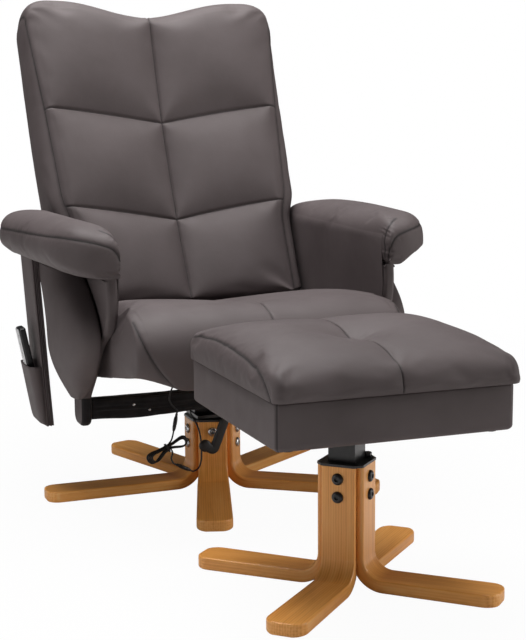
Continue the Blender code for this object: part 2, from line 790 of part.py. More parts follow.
def add_seat():
    rings = [[(x, y, z) for y, z in seat_loop(x, drawn)] for x, drawn in stations(SEAT_HALF, SEAT_EDGE, 17)]
    half = SEAT_HALF - SEAT_BOARD_INSET
    room = seat_board_outline(GAP)
    room[0] = (room[0][0], room[0][1] - SEAT_BOARD)
    room[1] = (room[1][0], room[1][1] - SEAT_BOARD)
    cushion = carve(loft(rings), prism(room, -half - GAP, half + GAP, "x"))
    add_piece("seat_cushion", cushion, "leather", "swivel")
    add_piece("seat_board", prism(seat_board_outline(0.0), -half, half, "x"), "plywood", "swivel")
    front = CONTROL_Y - CONTROL_DEPTH / 2
    rear = CONTROL_Y + CONTROL_DEPTH / 2
    outline = []
    for y, drop in ((front, CONTROL_HEIGHT), (rear, CONTROL_HEIGHT), (rear, 0), (front, 0)):
        outline.append((y, seat_under(y) - GAP - drop))
    control = prism(outline, CONTROL_X - CONTROL_WIDTH / 2, CONTROL_X + CONTROL_WIDTH / 2, "x")
    add_piece("massage_control_box", control, "black_plastic", "swivel")


# Back

def back_lean(s):
    return BACK_LEAN_LOW + (BACK_LEAN_TOP - BACK_LEAN_LOW) * s / BACK_LENGTH


def back_point(s, n):
    """Y and Z of a place s along the back's centre line and n in front of it."""
    bend = (BACK_LEAN_LOW - BACK_LEAN_TOP) / BACK_LENGTH
    lean = back_lean(s)
    y = BACK_FOOT_Y + (math.cos(lean) - math.cos(BACK_LEAN_LOW)) / bend
    z = BACK_FOOT_Z + (math.sin(BACK_LEAN_LOW) - math.sin(lean)) / bend
    return y - n * math.cos(lean), z + n * math.sin(lean)


def back_half(s):
    """Half width of the back, wider towards the top."""
    if s < BACK_MID_START:
        share = max(0.0, (s - BACK_LOW_END) / (BACK_MID_START - BACK_LOW_END))
        return BACK_HALF_LOW + (BACK_HALF_MID - BACK_HALF_LOW) * share * share * (3 - 2 * share)
    share = (s - BACK_MID_START) / (BACK_LENGTH - BACK_MID_START)
    return BACK_HALF_MID + (BACK_HALF_TOP - BACK_HALF_MID) * share


def back_top(x):
    """Length of the back at one place across it: a dip between two lobes, and round corners."""
    lobe = math.sin(math.pi / 2 * min(1.0, abs(x) / BACK_LOBE_X)) ** 2
    past = max(0.0, abs(x) - (BACK_HALF_TOP - BACK_CORNER)) / BACK_CORNER
    corner = BACK_CORNER * (1 - math.sqrt(max(0.0, 1 - min(1.0, past) ** 2)))
    return BACK_LENGTH + BACK_TOP_RISE * lobe - corner


def back_front(across, s, row_share):
    """How far the cushion's front stands before the centre line."""
    along = min(1.0, max(0.0, s / BACK_LENGTH))
    wrap = BACK_WRAP * across ** 2 * math.sin(math.pi * along * BACK_WRAP_RUN + BACK_WRAP_PHASE)
    return wrap + BACK_PILLOW * swell(across) * swell(row_share)


def back_ring(x, drawn):
    """Side outline of the back cushion at one place across it, as points in space."""
    across = min(1.0, abs(x) / (BACK_HALF_LOW - BACK_EDGE))
    rise = BACK_SEAM_RISE * across
    top = back_top(x * BACK_HALF_TOP / BACK_HALF_LOW)
    marks = [0.0, BACK_SEAMS[0] + rise, BACK_SEAMS[1] + rise, top - BACK_EDGE]
    rows = 6
    flat = []
    for low, high in zip(marks, marks[1:]):
        for i in range(rows):
            s = low + (high - low) * i / rows
            flat.append((s, back_front(across, s, i / rows)))
    front = back_front(across, marks[-1], 0.0)
    flat.append((marks[-1], front))
    depth = front + BACK_THICK
    for i in range(1, 6):
        angle = math.pi * i / 6
        flat.append((marks[-1] + BACK_EDGE * math.sin(angle), front - depth * (1 - math.cos(angle)) / 2))
    for i in range(6):
        flat.append((marks[-1] * (1 - i / 6), -BACK_THICK))
    flat.append((0.0, -BACK_THICK))
    flat.append((0.0, -BACK_THICK / 2))
    ring = []
    for s, n in inset(flat, drawn):
        y, z = back_point(s, n)
        ring.append((x * back_half(s) / BACK_HALF_LOW, y, z))
    return ring


def back_slab(low_s, high_s, low_n, high_n, steps):
    """Side outline of a slab that follows the back's curve."""
    marks = [low_s + (high_s - low_s) * i / steps for i in range(steps + 1)]
    return [back_point(s, high_n) for s in marks] + [back_point(s, low_n) for s in marks[::-1]]


def motor_rod(side, grow):
    """A vibration motor's can, seated on the back board."""
    seat = -BACK_THICK - GAP
    y0, z0 = back_point(MOTOR_S, seat + (GAP if grow == 0 else -GAP))
    y1, z1 = back_point(MOTOR_S, seat + GAP + MOTOR_DEPTH + grow)
    x = side * MOTOR_X
    return cylinder((x, y0, z0), (x, y1, z1), MOTOR_RADIUS + grow, SMALL_ROUND + 4)


def add_back():
    rings = [back_ring(x, drawn) for x, drawn in stations(BACK_HALF_LOW, BACK_EDGE, 19)]
    cushion = carve(loft(rings), together([motor_rod(side, GAP) for side in (-1, 1)]))
    add_piece("back_cushion", cushion, "leather", "back")
    front = -BACK_THICK - GAP
    top = BACK_LENGTH - BACK_BOARD_SHORT
    board = back_slab(-BACK_BOARD_DROP, top, front - BACK_BOARD, front, BACK_BOARD_STEPS)
    add_piece("back_board", prism(board, -BACK_BOARD_HALF, BACK_BOARD_HALF, "x"), "leather", "back")
    for number, side in enumerate((-1, 1), 1):
        add_piece(f"vibration_motor_{number}", motor_rod(side, 0.0), "black_plastic", "back")


# Recline hinge

def pivot_on_back():
    """The pivot's place along the back."""
    way = Vector((math.sin(BACK_LEAN_LOW), math.cos(BACK_LEAN_LOW)))
    offset = Vector((PIVOT_Y - BACK_FOOT_Y, PIVOT_Z - BACK_FOOT_Z))
    return offset.dot(way)


def add_hinge():
    upright = SEAT_REAR + HINGE_REAR_GAP
    foot = seat_under(upright) - GAP - HINGE_FOOT_DEPTH
    seat_plate = [(HINGE_FOOT_Y, seat_under(HINGE_FOOT_Y) - GAP),
                  (HINGE_FOOT_Y, seat_under(HINGE_FOOT_Y) - GAP - HINGE_FOOT_DEPTH), (upright, foot)]
    seat_plate += arc((PIVOT_Y, PIVOT_Z), HINGE_EAR, 0, 180, BEND_STEPS)
    seat_plate.append((upright, PIVOT_Z - HINGE_EAR))
    seat_plate.append((upright, seat_under(upright) - GAP))
    s = pivot_on_back()
    board_face = -BACK_THICK
    back_plate = [back_point(s - HINGE_EAR, board_face), back_point(s + HINGE_EAR, board_face)]
    lean = math.degrees(BACK_LEAN_LOW)
    back_plate += arc((PIVOT_Y, PIVOT_Z), HINGE_EAR, 90 - lean, 270 - lean, BEND_STEPS)
    reach = HINGE_X + 2 * HINGE_PLATE + GAP + SHAFT_OVERHANG
    bore = cylinder((-2 * reach, PIVOT_Y, PIVOT_Z), (2 * reach, PIVOT_Y, PIVOT_Z), SHAFT_RADIUS + GAP, ROUND)
    for number, side in enumerate((-1, 1), 1):
        for name, outline, start, home in (("seat_hinge", seat_plate, HINGE_X, "swivel"),
                                           ("back_hinge", back_plate, HINGE_X + HINGE_PLATE + GAP, "back")):
            ends = sorted((side * start, side * (start + HINGE_PLATE)))
            plate = carve(prism(outline, ends[0], ends[1], "x"), bore.copy())
            add_piece(f"{name}_{number}", plate, "black_steel", home)
    shaft = cylinder((-reach, PIVOT_Y, PIVOT_Z), (reach, PIVOT_Y, PIVOT_Z), SHAFT_RADIUS, ROUND)
    add_piece("recline_shaft", shaft, "bright_steel", "swivel")


# Arms

def board_outline():
    front, rear = BOARD_EDGE
    foot = [(TONGUE_FRONT, TONGUE_TOP), (TONGUE_FRONT, TONGUE_BOTTOM),
            (TONGUE_REAR, TONGUE_BOTTOM), (TONGUE_REAR, TONGUE_TOP)]
    return [*front, *foot, *rear]


def panel_ring(z, front, rear):
    """Outline of the padded outer panel at one height: flat against the board, round outside."""
    low = PANEL_EDGE[0][0]
    share = (z - low) / (ARM_TOP - low)
    growth = math.sin(math.pi * min(0.5, PANEL_GROWTH * share))
    thick = PANEL_THICK * (PANEL_FOOT + (1 - PANEL_FOOT) * growth)
    inner = ARM_INNER + ARM_BOARD + GAP
    ring = []
    for i in range(11):
        angle = math.pi * i / 10
        ring.append((inner + thick * math.sin(angle) ** PANEL_ROUND,
                     (front + rear) / 2 - (rear - front) / 2 * math.cos(angle), z))
    return ring


def pad_ring(y):
    """Cross outline of the arm pad at one place along it: flat below, crowned above."""
    centre = PAD_CENTRE + PAD_SPLAY * min(1.0, (y - PAD_FRONT) / (PAD_SPLAY_END - PAD_FRONT))
    share = 1.0
    if y < PAD_FRONT + PAD_NOSE:
        share = math.sqrt(max(0.0, 1 - ((PAD_FRONT + PAD_NOSE - y) / PAD_NOSE) ** 2))
    if y > PAD_REAR - PAD_TAIL:
        share = math.sqrt(max(0.0, 1 - ((y - PAD_REAR + PAD_TAIL) / PAD_TAIL) ** 2))
    half = PAD_WIDTH / 2 * (PAD_TIP_WIDTH + (1 - PAD_TIP_WIDTH) * share)
    if y > PAD_REAR - PAD_TAIL:
        centre -= PAD_WIDTH / 2 - half
    full = PAD_HEIGHT - PAD_FALL * (y - PAD_FRONT) / (PAD_REAR - PAD_FRONT)
    height = full * (PAD_TIP_HEIGHT + (1 - PAD_TIP_HEIGHT) * share)
    low = ARM_TOP + (full - height) * PAD_LIFT
    ring = []
    for i in range(16):
        angle = 2 * math.pi * (i + 0.5) / 16
        cos = math.cos(angle)
        sin = math.sin(angle)
        x = math.copysign(abs(cos) ** PAD_ROUND, cos) * half
        z = math.copysign(abs(sin) ** PAD_ROUND, sin) * height * (1 - PAD_WAIST)
        ring.append((centre + x, y, max(low, low + height * PAD_WAIST + z)))
    return ring


def pad_places():
    """Places along the pad, close together at its round ends."""
    places = [PAD_FRONT + PAD_NOSE * (1 - math.cos(math.pi / 2 * i / 5)) for i in range(5)]
    flat = PAD_REAR - PAD_TAIL - PAD_FRONT - PAD_NOSE
    places += [PAD_FRONT + PAD_NOSE + flat * i / 8 for i in range(9)]
    places += [PAD_REAR - PAD_TAIL * (1 - math.sin(math.pi / 2 * i / 4)) for i in range(1, 5)]
    return places


def mirrored(ring, side):
    return [(side * x, y, z) for x, y, z in ring]


def add_arms():
    for label, side in (("left", -1), ("right", 1)):
        faces = sorted((side * ARM_INNER, side * (ARM_INNER + ARM_BOARD)))
        add_piece(f"arm_board_{label}", prism(board_outline(), faces[0], faces[1], "x"), "leather", "swivel")
        panel = loft([mirrored(panel_ring(*level), side) for level in smooth_route(PANEL_EDGE, PANEL_STEP)])
        add_piece(f"arm_panel_{label}", panel, "leather", "swivel")
        pad = loft([mirrored(pad_ring(y), side) for y in pad_places()])
        add_piece(f"arm_pad_{label}", pad, "leather", "swivel")


# Side pocket and remote control

def flap_x(z):
    """Outer face of the pocket's flap, on the left arm."""
    return -FLAP_TOP_X + (ARM_TOP - z) * math.tan(FLAP_LEAN)


def pouch_outline(wall, mouth):
    """Cross outline of the pouch, drawn in by a wall."""
    foot = FLAP_BOTTOM + wall
    slope = (POUCH_MOUTH_DEPTH - POUCH_FOOT_DEPTH) / (POUCH_MOUTH - FLAP_BOTTOM)
    outline = []
    for z, outer in ((foot, False), (mouth, False), (mouth, True), (foot, True)):
        depth = POUCH_FOOT_DEPTH + slope * (z - FLAP_BOTTOM) - wall
        outline.append((flap_x(z) - (depth if outer else 0.0), z))
    return outline


def add_pocket():
    rear = FLAP_FRONT + FLAP_WIDTH
    top = ARM_TOP - GAP
    flap = [(flap_x(FLAP_BOTTOM), FLAP_BOTTOM), (flap_x(top), top), (flap_x(top) + FLAP_THICK, top),
            (flap_x(FLAP_BOTTOM) + FLAP_THICK, FLAP_BOTTOM)]
    pouch = [(x + LEATHER / 2 if i < 2 else x, z) for i, (x, z) in enumerate(pouch_outline(0.0, POUCH_MOUTH))]
    body = carve(prism(flap, FLAP_FRONT, rear, "y"),
                 prism(pouch, FLAP_FRONT + GAP, rear - GAP, "y"), "UNION")
    room = prism(pouch_outline(LEATHER, POUCH_MOUTH + LEATHER), FLAP_FRONT + LEATHER, rear - LEATHER, "y")
    add_piece("side_pocket", carve(body, room), "leather", "swivel")


def remote_place(across, along, out):
    """A place on the remote: across its width, up its length, and out of its front face."""
    foot = pouch_outline(LEATHER, REMOTE_Z)
    middle = (foot[1][0] + foot[2][0]) / 2
    up = Vector((-math.sin(REMOTE_LEAN), 0.0, math.cos(REMOTE_LEAN)))
    front = Vector((-math.cos(REMOTE_LEAN), 0.0, -math.sin(REMOTE_LEAN)))
    start = Vector((middle, FLAP_FRONT + FLAP_WIDTH / 2, REMOTE_Z + REMOTE_LIFT))
    return start + up * along + front * out + Vector((0.0, across, 0.0))


def button_along(number):
    return REMOTE_LENGTH - BUTTON_DROP - BUTTON_PITCH * number


def add_remote():
    half = REMOTE_THICK / 2
    edge = REMOTE_EDGE
    wide = REMOTE_WIDTH / 2
    levels = ((0.0, edge), (edge, 0.0), (REMOTE_LENGTH - edge, 0.0), (REMOTE_LENGTH, edge))
    rings = []
    for along, drawn in levels:
        w = wide - drawn
        h = half - drawn / 2
        outline = [(-w + edge, -h), (w - edge, -h), (w, -h + edge), (w, h - edge),
                   (w - edge, h), (-w + edge, h), (-w, h - edge), (-w, -h + edge)]
        rings.append([remote_place(across, along, out) for across, out in outline])
    body = loft(rings)
    floor = half - BUTTON_ROOT - BUTTON_TRAVEL - GAP
    holes = []
    for number in range(len(BUTTON_NAMES)):
        along = button_along(number)
        holes.append(cylinder(remote_place(0, along, floor), remote_place(0, along, half + BUTTON_PROUD),
                              BUTTON_RADIUS + GAP, SMALL_ROUND + 2))
    add_piece("remote_body", carve(body, together(holes)), "black_plastic", "remote")
    for number, name in enumerate(BUTTON_NAMES):
        along = button_along(number)
        button = cylinder(remote_place(0, along, half - BUTTON_ROOT),
                          remote_place(0, along, half + BUTTON_PROUD),
                          BUTTON_RADIUS, SMALL_ROUND + 2)
        add_piece(f"remote_button_{name}", button, "silver_plastic", f"button_{name}")


# Footstool

def lid_height(x, y):
    """Rise of the lid's top over its edge: two stuffed halves and a tuft in the middle."""
    across = min(1.0, abs(x) / (BOX_X / 2 + LID_SIDE - LID_ROUND))
    along = min(1.0, abs(y) / (BOX_Y / 2 + LID_REAR - LID_ROUND))
    crown = LID_CROWN * (1 - across ** 3) * (1 - along ** 3)
    seam = math.exp(-abs(x) / LID_SEAM_REACH) * LID_SEAM
    tuft = LID_TUFT * math.exp(-math.hypot(x, y) / LID_TUFT_REACH)
    return crown - seam * (1 - along) - tuft


def lid_loop(x, drawn):
    low = BOX_TOP + LID_GAP
    edge = low + LID_EDGE - LID_ROUND
    front = -BOX_Y / 2 - LID_FRONT
    rear = BOX_Y / 2 + LID_REAR
    middle = (low + edge) / 2
    loop = [(front, low), (front - LID_BELLY, middle)]
    loop += arc((front + LID_ROUND, edge), LID_ROUND, 180, 115, EDGE_STEPS)
    steps = 16
    for i in range(steps + 1):
        y = front + LID_ROUND + (rear - front - 2 * LID_ROUND) * i / steps
        loop.append((y, edge + LID_ROUND + lid_height(x, y)))
    loop += arc((rear - LID_ROUND, edge), LID_ROUND, 65, 0, EDGE_STEPS)
    loop += [(rear + LID_BELLY, middle), (rear, low)]
    drawn_loop = inset(loop, drawn)
    return [(y, max(z, low)) for y, z in drawn_loop]


def curl(centre, start, sweep, lead):
    """Middle line of a hinge leaf: a straight sheet that rolls round the pin."""
    radius = PIN_RADIUS + PIN_CLEAR + LEAF / 2
    return [lead] + arc(centre, radius, start, start + sweep, 10)


def add_lid_hinge(pin_y, pin_z):
    rear = BOX_Y / 2
    centre = (pin_y, pin_z)
    box_sheet = rear + GAP + LEAF / 2
    box_path = curl(centre, 180, -250, (box_sheet, pin_z - LEAF_DROP))
    lid_path = curl(centre, 90, -250, (rear - LEAF_DROP, BOX_TOP + LID_GAP - GAP - LEAF / 2))
    bare = PIN_RADIUS + PIN_CLEAR + LEAF
    thin = LEAF - GAP
    sheet = ribbon([(box_sheet, pin_z - LEAF_DROP), (box_sheet, pin_z - bare - KNUCKLE_GAP)], thin)
    leaf = prism(sheet, GAP - LEAF_HALF, LEAF_HALF - GAP, "x")
    for low, high in ((-LEAF_HALF, -KNUCKLE - KNUCKLE_GAP), (KNUCKLE + KNUCKLE_GAP, LEAF_HALF)):
        leaf = carve(leaf, prism(ribbon(box_path, LEAF), low, high, "x"), "UNION")
    add_piece("lid_hinge_box_leaf", leaf, "black_steel", "stool")
    lid_sheet = BOX_TOP + LID_GAP - GAP - LEAF / 2
    sheet = ribbon([(rear - LEAF_DROP, lid_sheet), (rear - KNUCKLE_GAP, lid_sheet)], thin)
    leaf = prism(sheet, GAP - LEAF_HALF, LEAF_HALF - GAP, "x")
    leaf = carve(leaf, prism(ribbon(lid_path, LEAF), -KNUCKLE, KNUCKLE, "x"), "UNION")
    add_piece("lid_hinge_lid_leaf", leaf, "black_steel", "lid")
    pin = cylinder((-LEAF_HALF, pin_y, pin_z), (LEAF_HALF, pin_y, pin_z), PIN_RADIUS, SMALL_ROUND)
    add_piece("lid_hinge_pin", pin, "bright_steel", "stool")


def add_stool(hub_plate):
    add_piece("footstool_hub_plate", hub_plate, "black_steel", "stool")
    angle = leg_angles(STOOL_LEGS, STOOL_FIRST_LEG)[0]
    post_top = BOX_BOTTOM - GAP - BOX_PLATE - GAP
    half = POST_SIDE / 2
    post = many_sided(4, half - POST_WALL, half, plate_top(STOOL_LEG_TOP) + GAP, post_top, angle)
    add_piece("footstool_post", post, "black_steel", "stool")
    half = BOX_PLATE_HALF
    plate = block((-half, -half, post_top + GAP), (half, half, BOX_BOTTOM - GAP))
    add_piece("footstool_box_plate", plate, "black_steel", "stool")
    x = BOX_X / 2
    y = BOX_Y / 2
    walls = block((-x, -y, BOX_BOTTOM), (x, y, BOX_TOP))
    room = block((BOX_WALL - x, BOX_WALL - y, 0), (x - BOX_WALL, y - BOX_WALL, 2 * BOX_TOP))
    add_piece("footstool_box", carve(walls, room), "leather", "stool")
    in_x = x - BOX_WALL - GAP
    in_y = y - BOX_WALL - GAP
    floor = block((-in_x, -in_y, BOX_BOTTOM), (in_x, in_y, BOX_BOTTOM + BOX_FLOOR))
    glides = []
    for side_x in (-1, 1):
        for side_y in (-1, 1):
            at = (side_x * (x - GLIDE_INSET), side_y * (y - GLIDE_INSET))
            glides.append(cylinder((*at, BOX_BOTTOM - GLIDE_HEIGHT), (*at, BOX_BOTTOM + BOX_FLOOR / 2),
                                   GLIDE_RADIUS, SMALL_ROUND + 2))
    add_piece("footstool_box_floor", carve(floor, together(glides), "UNION"), "black_fabric", "stool")


def add_lid():
    half = BOX_X / 2 + LID_SIDE
    rings = [[(x, y, z) for y, z in lid_loop(x, drawn)] for x, drawn in stations(half, LID_ROUND, 15)]
    low = BOX_TOP + LID_GAP
    x = BOX_X / 2 - LID_BOARD_INSET
    y = BOX_Y / 2 - LID_BOARD_INSET
    room = block((-x - GAP, -y - GAP, low - LID_BOARD), (x + GAP, y + GAP, low + LID_BOARD + GAP))
    add_piece("lid_cushion", carve(loft(rings), room), "leather", "lid")
    add_piece("lid_board", block((-x, -y, low), (x, y, low + LID_BOARD)), "black_fabric", "lid")


# Lead under the seat

def add_grip(name, ends):
    """A moulded plug on the lead, with tapered ends."""
    shoulder = GRIP_RADIUS * GRIP_SHOULDER
    radii = ((0, GRIP_NECK), (0.2, shoulder), (0.45, GRIP_RADIUS), (0.8, shoulder), (1, GRIP_NECK))
    add_piece(name, rod(ends[0], ends[1], radii, SMALL_ROUND), "black_plastic", "swivel")


def plug_lead(ends, out):
    """Last two points of a cord that meets a plug squarely: at the plug, and straight out of it."""
    near, far = (Vector(ends[1]), Vector(ends[0])) if out else (Vector(ends[0]), Vector(ends[1]))
    axis = (near - far).normalized()
    return [near + axis * GAP, near + axis * STRAIGHT_END]


def hank_point(turn):
    """A place along the hank's loops: a bow of two lobes, drawn in at the waist, one turn behind the next."""
    angle = 2 * math.pi * turn
    length = HANK_LENGTH - HANK_TAPER * turn
    spread = HANK_SPREAD - HANK_TAPER * turn
    x = length * math.cos(angle)
    w = math.sin(angle) * (HANK_WAIST + (spread - HANK_WAIST) * math.cos(angle) ** 2)
    blend = 0.5 + 0.5 * math.tanh(x / (HANK_LENGTH / 4))
    tilt = HANK_TILT_LEFT + (HANK_TILT_RIGHT - HANK_TILT_LEFT) * blend
    depth = HANK_PITCH * (HANK_TURNS / 2 + 0.25 - turn)
    return Vector((HANK_CENTRE[0] + x * math.cos(tilt) - w * math.sin(tilt), HANK_CENTRE[1] + depth,
                   HANK_CENTRE[2] + x * math.sin(tilt) + w * math.cos(tilt)))


def hank_points():
    first = HANK_START
    last = HANK_TURNS + HANK_END
    count = round((last - first) * HANK_LOOP_POINTS)
    loops = [hank_point(first + (last - first) * i / count) for i in range(count + 1)]
    head = smooth_route([*plug_lead(UPPER_PLUG, True), HANK_HEAD, loops[0]], CORD_STEP / 2)
    tail = smooth_route([loops[-1], *HANK_TAIL, *plug_lead(LOWER_PLUG, False)[::-1]], CORD_STEP / 2)
    return head[:-1] + loops + tail[1:]


def least_gap(points, skip):
    """Least gap of a tube to itself, measured on points along it that lie further apart than skip."""
    dense = []
    for a, b in zip(points, points[1:]):
        dense += [a.lerp(b, i / 4) for i in range(4)]
    run = [0.0]
    for a, b in zip(dense, dense[1:]):
        run.append(run[-1] + (b - a).length)
    least = math.inf
    for i, a in enumerate(dense):
        for j in range(i + 1, len(dense)):
            if run[j] - run[i] > skip:
                least = min(least, (dense[j] - a).length)
    return least - CORD


def add_tie():
    """A flat band round the hank's waist."""
    centre = Vector(HANK_CENTRE)
    tilt = (HANK_TILT_LEFT + HANK_TILT_RIGHT) / 2
    along = Vector((math.cos(tilt), 0.0, math.sin(tilt)))
    up = Vector((-math.sin(tilt), 0.0, math.cos(tilt)))
    high = HANK_WAIST + CORD / 2 + TIE_CLEAR
    deep = HANK_PITCH * HANK_TURNS / 2 + CORD / 2 + TIE_CLEAR
    rings = []
    for sign_up, sign_deep in ((-1, -1), (1, -1), (1, 1), (-1, 1)):
        ring = []
        for grow, end in ((0, -1), (1, -1), (1, 1), (0, 1)):
            ring.append(centre + along * end * TIE_LENGTH / 2 + up * sign_up * (high + grow * TIE_WALL)
                        + Vector((0.0, sign_deep * (deep + grow * TIE_WALL), 0.0)))
        rings.append(ring)
    add_piece("cord_tie", ring_round(rings), "black_plastic", "swivel")


def add_lead():
    x, y = UPPER_LEAD_START
    down = Vector((0.0, SEAT_SLOPE, -1.0)).normalized()
    start = Vector((x, y, seat_under(y))) + down * GAP
    upper = smooth_route([start, start + down * STRAIGHT_END, *UPPER_LEAD,
                          *plug_lead(UPPER_PLUG, False)[::-1]], CORD_STEP)
    add_cord("cord_upper_lead", upper, "swivel", 2)
    add_grip("cord_upper_plug", UPPER_PLUG)
    loops = hank_points()
    print(f"hank: least gap to itself {least_gap(loops, 4 * CORD) * 1000:.2f} mm")
    add_cord("cord_hank", loops, "swivel", 1)
    add_tie()
    add_grip("cord_lower_plug", LOWER_PLUG)
    end = Vector((*LOWER_LEAD_END, BAR_BOTTOM - GAP))
    lower = smooth_route([*plug_lead(LOWER_PLUG, True), *LOWER_LEAD,
                          end - Vector((0.0, 0.0, STRAIGHT_END)), end], CORD_STEP)
    add_cord("cord_lower_lead", lower, "swivel", 2)


# The assembly

def main():
    clear_scene()
    add_home("chair", (CHAIR_X, CHAIR_Y, 0.0))
    add_home("stool", (CHAIR_X + STOOL_X, CHAIR_Y + STOOL_Y, 0.0))
    add_home("swivel", (0.0, 0.0, 0.0), "chair")
    add_home("back", (0.0, PIVOT_Y, PIVOT_Z), "swivel")
    add_home("lever", (LEVER_X, LEVER_FRONT, LEVER_Z), "swivel")
    add_home("remote", remote_place(0.0, 0.0, 0.0), "swivel")
    for number, name in enumerate(BUTTON_NAMES):
        add_home(f"button_{name}", remote_place(0.0, button_along(number), REMOTE_THICK / 2), "remote")
    pin_y = BOX_Y / 2 + GAP + LEAF + PIN_CLEAR + PIN_RADIUS
    pin_z = BOX_TOP + LID_GAP - GAP - LEAF - PIN_CLEAR - PIN_RADIUS
    add_home("lid", (0.0, pin_y, pin_z), "stool")

    chair_plate = add_base("chair", CHAIR_LEGS, CHAIR_FIRST_LEG, CHAIR_LEG_TOP, CHAIR_LEG_REACH, "chair")
    add_swivel(chair_plate)
    add_mechanism()
    add_lever()
    add_seat()
    add_back()
    add_hinge()
    add_arms()
    add_pocket()
    add_remote()
    stool_plate = add_base("footstool", STOOL_LEGS, STOOL_FIRST_LEG, STOOL_LEG_TOP, STOOL_LEG_REACH, "stool")
    add_stool(stool_plate)
    add_lid_hinge(pin_y, pin_z)
    add_lid()
    add_lead()


main()
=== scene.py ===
# %% [markdown]
# # A reclining massage chair and its footstool
# This lesson dresses a finished mechanical model. The model already has every board, hinge, bolt and
# joint in its place, and it stays as it is. What is made here is what the eye meets first: stuffed
# leather, bent laminated wood, black webbing, a loose lead, and the light they are seen in. Each
# new piece is fastened to the moving body that carries it, so the chair still swivels and reclines.

# %% Load the model as a fixed frame
import json
import math

import bmesh
import bpy
import numpy as np
from mathutils import Matrix, Vector, kdtree, noise
from mathutils.bvhtree import BVHTree

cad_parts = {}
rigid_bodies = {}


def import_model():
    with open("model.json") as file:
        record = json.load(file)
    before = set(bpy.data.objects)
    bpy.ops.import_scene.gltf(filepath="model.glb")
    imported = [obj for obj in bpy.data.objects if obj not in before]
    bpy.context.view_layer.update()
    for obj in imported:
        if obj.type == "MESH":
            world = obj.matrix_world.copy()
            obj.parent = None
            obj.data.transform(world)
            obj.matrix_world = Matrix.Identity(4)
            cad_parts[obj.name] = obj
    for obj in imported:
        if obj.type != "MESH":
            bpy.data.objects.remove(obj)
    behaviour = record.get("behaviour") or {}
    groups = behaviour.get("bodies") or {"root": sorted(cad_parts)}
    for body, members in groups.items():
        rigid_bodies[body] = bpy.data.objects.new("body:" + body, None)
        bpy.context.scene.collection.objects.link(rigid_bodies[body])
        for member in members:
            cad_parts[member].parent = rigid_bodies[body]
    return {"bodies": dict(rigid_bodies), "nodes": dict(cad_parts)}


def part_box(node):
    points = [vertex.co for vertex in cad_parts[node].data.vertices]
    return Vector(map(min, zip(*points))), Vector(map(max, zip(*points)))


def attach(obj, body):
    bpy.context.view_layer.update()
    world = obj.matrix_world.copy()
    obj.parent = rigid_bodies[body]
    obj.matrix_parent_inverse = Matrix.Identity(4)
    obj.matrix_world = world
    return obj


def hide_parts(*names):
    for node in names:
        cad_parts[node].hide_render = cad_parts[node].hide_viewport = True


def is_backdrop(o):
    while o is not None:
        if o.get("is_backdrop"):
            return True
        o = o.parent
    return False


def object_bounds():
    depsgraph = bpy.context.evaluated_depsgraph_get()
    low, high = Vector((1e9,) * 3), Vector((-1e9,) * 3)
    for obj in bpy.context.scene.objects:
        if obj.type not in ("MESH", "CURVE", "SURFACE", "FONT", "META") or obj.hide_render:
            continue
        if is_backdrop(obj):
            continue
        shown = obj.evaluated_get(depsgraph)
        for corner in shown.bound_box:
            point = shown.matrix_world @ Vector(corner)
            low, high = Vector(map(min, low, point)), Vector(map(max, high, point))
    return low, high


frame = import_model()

kept = set(frame["nodes"].values()) | set(frame["bodies"].values())
for thing in list(bpy.data.objects):
    if thing not in kept:
        bpy.data.objects.remove(thing)
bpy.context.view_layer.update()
scene = bpy.context.scene

# %% [markdown]
# ## Two frames of reference
# The chair turns on a post and the footstool stands in front of it. Sizes are easier to think of
# from the post's axis, so every chair piece is written in the chair's own frame and every footstool
# piece in the footstool's, and both are moved to their place on the floor at the very end.

# %% Where the chair and the footstool stand
CHAIR = Vector((0.000, 0.200, 0.000))
STOOL = Vector((0.004, -0.498, 0.000))
GAP = 0.0003                   # between pieces that touch


def on_chair(points):
    return [CHAIR + Vector(point) for point in points]


def on_stool(points):
    return [STOOL + Vector(point) for point in points]


print("footstool ahead of the chair by", round(CHAIR.y - STOOL.y, 3), "m")

# %% [markdown]
# ## The camera
# The picture was taken from the front left, a little above the seat, with a long lens: upright edges
# stay upright and the legs hardly shrink with distance. A long lens far away gives that, and a
# small shift moves the frame without tilting the camera.

# %% Camera
CAMERA_PLACE = Vector((-0.9865, -2.7625, 0.8562))
CAMERA_RIGHT = Vector((0.9232, -0.3844, 0.0)).normalized()
CAMERA_FORWARD = Vector((0.3789, 0.9100, -0.1688)).normalized()
CAMERA_LENS = 85.2
CAMERA_SENSOR = 36.0
CAMERA_SHIFT = (-0.0900, 0.0184)

camera_up = CAMERA_RIGHT.cross(CAMERA_FORWARD).normalized()
camera_data = bpy.data.cameras.new("camera")
camera_data.sensor_fit = "VERTICAL"
camera_data.sensor_height = CAMERA_SENSOR
camera_data.lens = CAMERA_LENS
camera_data.shift_x, camera_data.shift_y = CAMERA_SHIFT
camera = bpy.data.objects.new("camera", camera_data)
turn = Matrix((CAMERA_RIGHT, camera_up, -CAMERA_FORWARD)).transposed().to_4x4()
camera.matrix_world = Matrix.Translation(CAMERA_PLACE) @ turn
scene.collection.objects.link(camera)
scene.camera = camera
print("camera is", round((CAMERA_PLACE - CHAIR).length, 2), "m from the chair's axis")

# %% [markdown]
# ## Light and floor
# A studio for furniture has one large soft light overhead, a weaker one in front of it and one at each
# side. The top light makes seats and arm pads pale and leaves the front faces dark, which gives leather
# its body. The floor is white paper: for the camera it glows at strength 1, and a share of real shading
# stays in it, so that the object still stands on its own shadow.

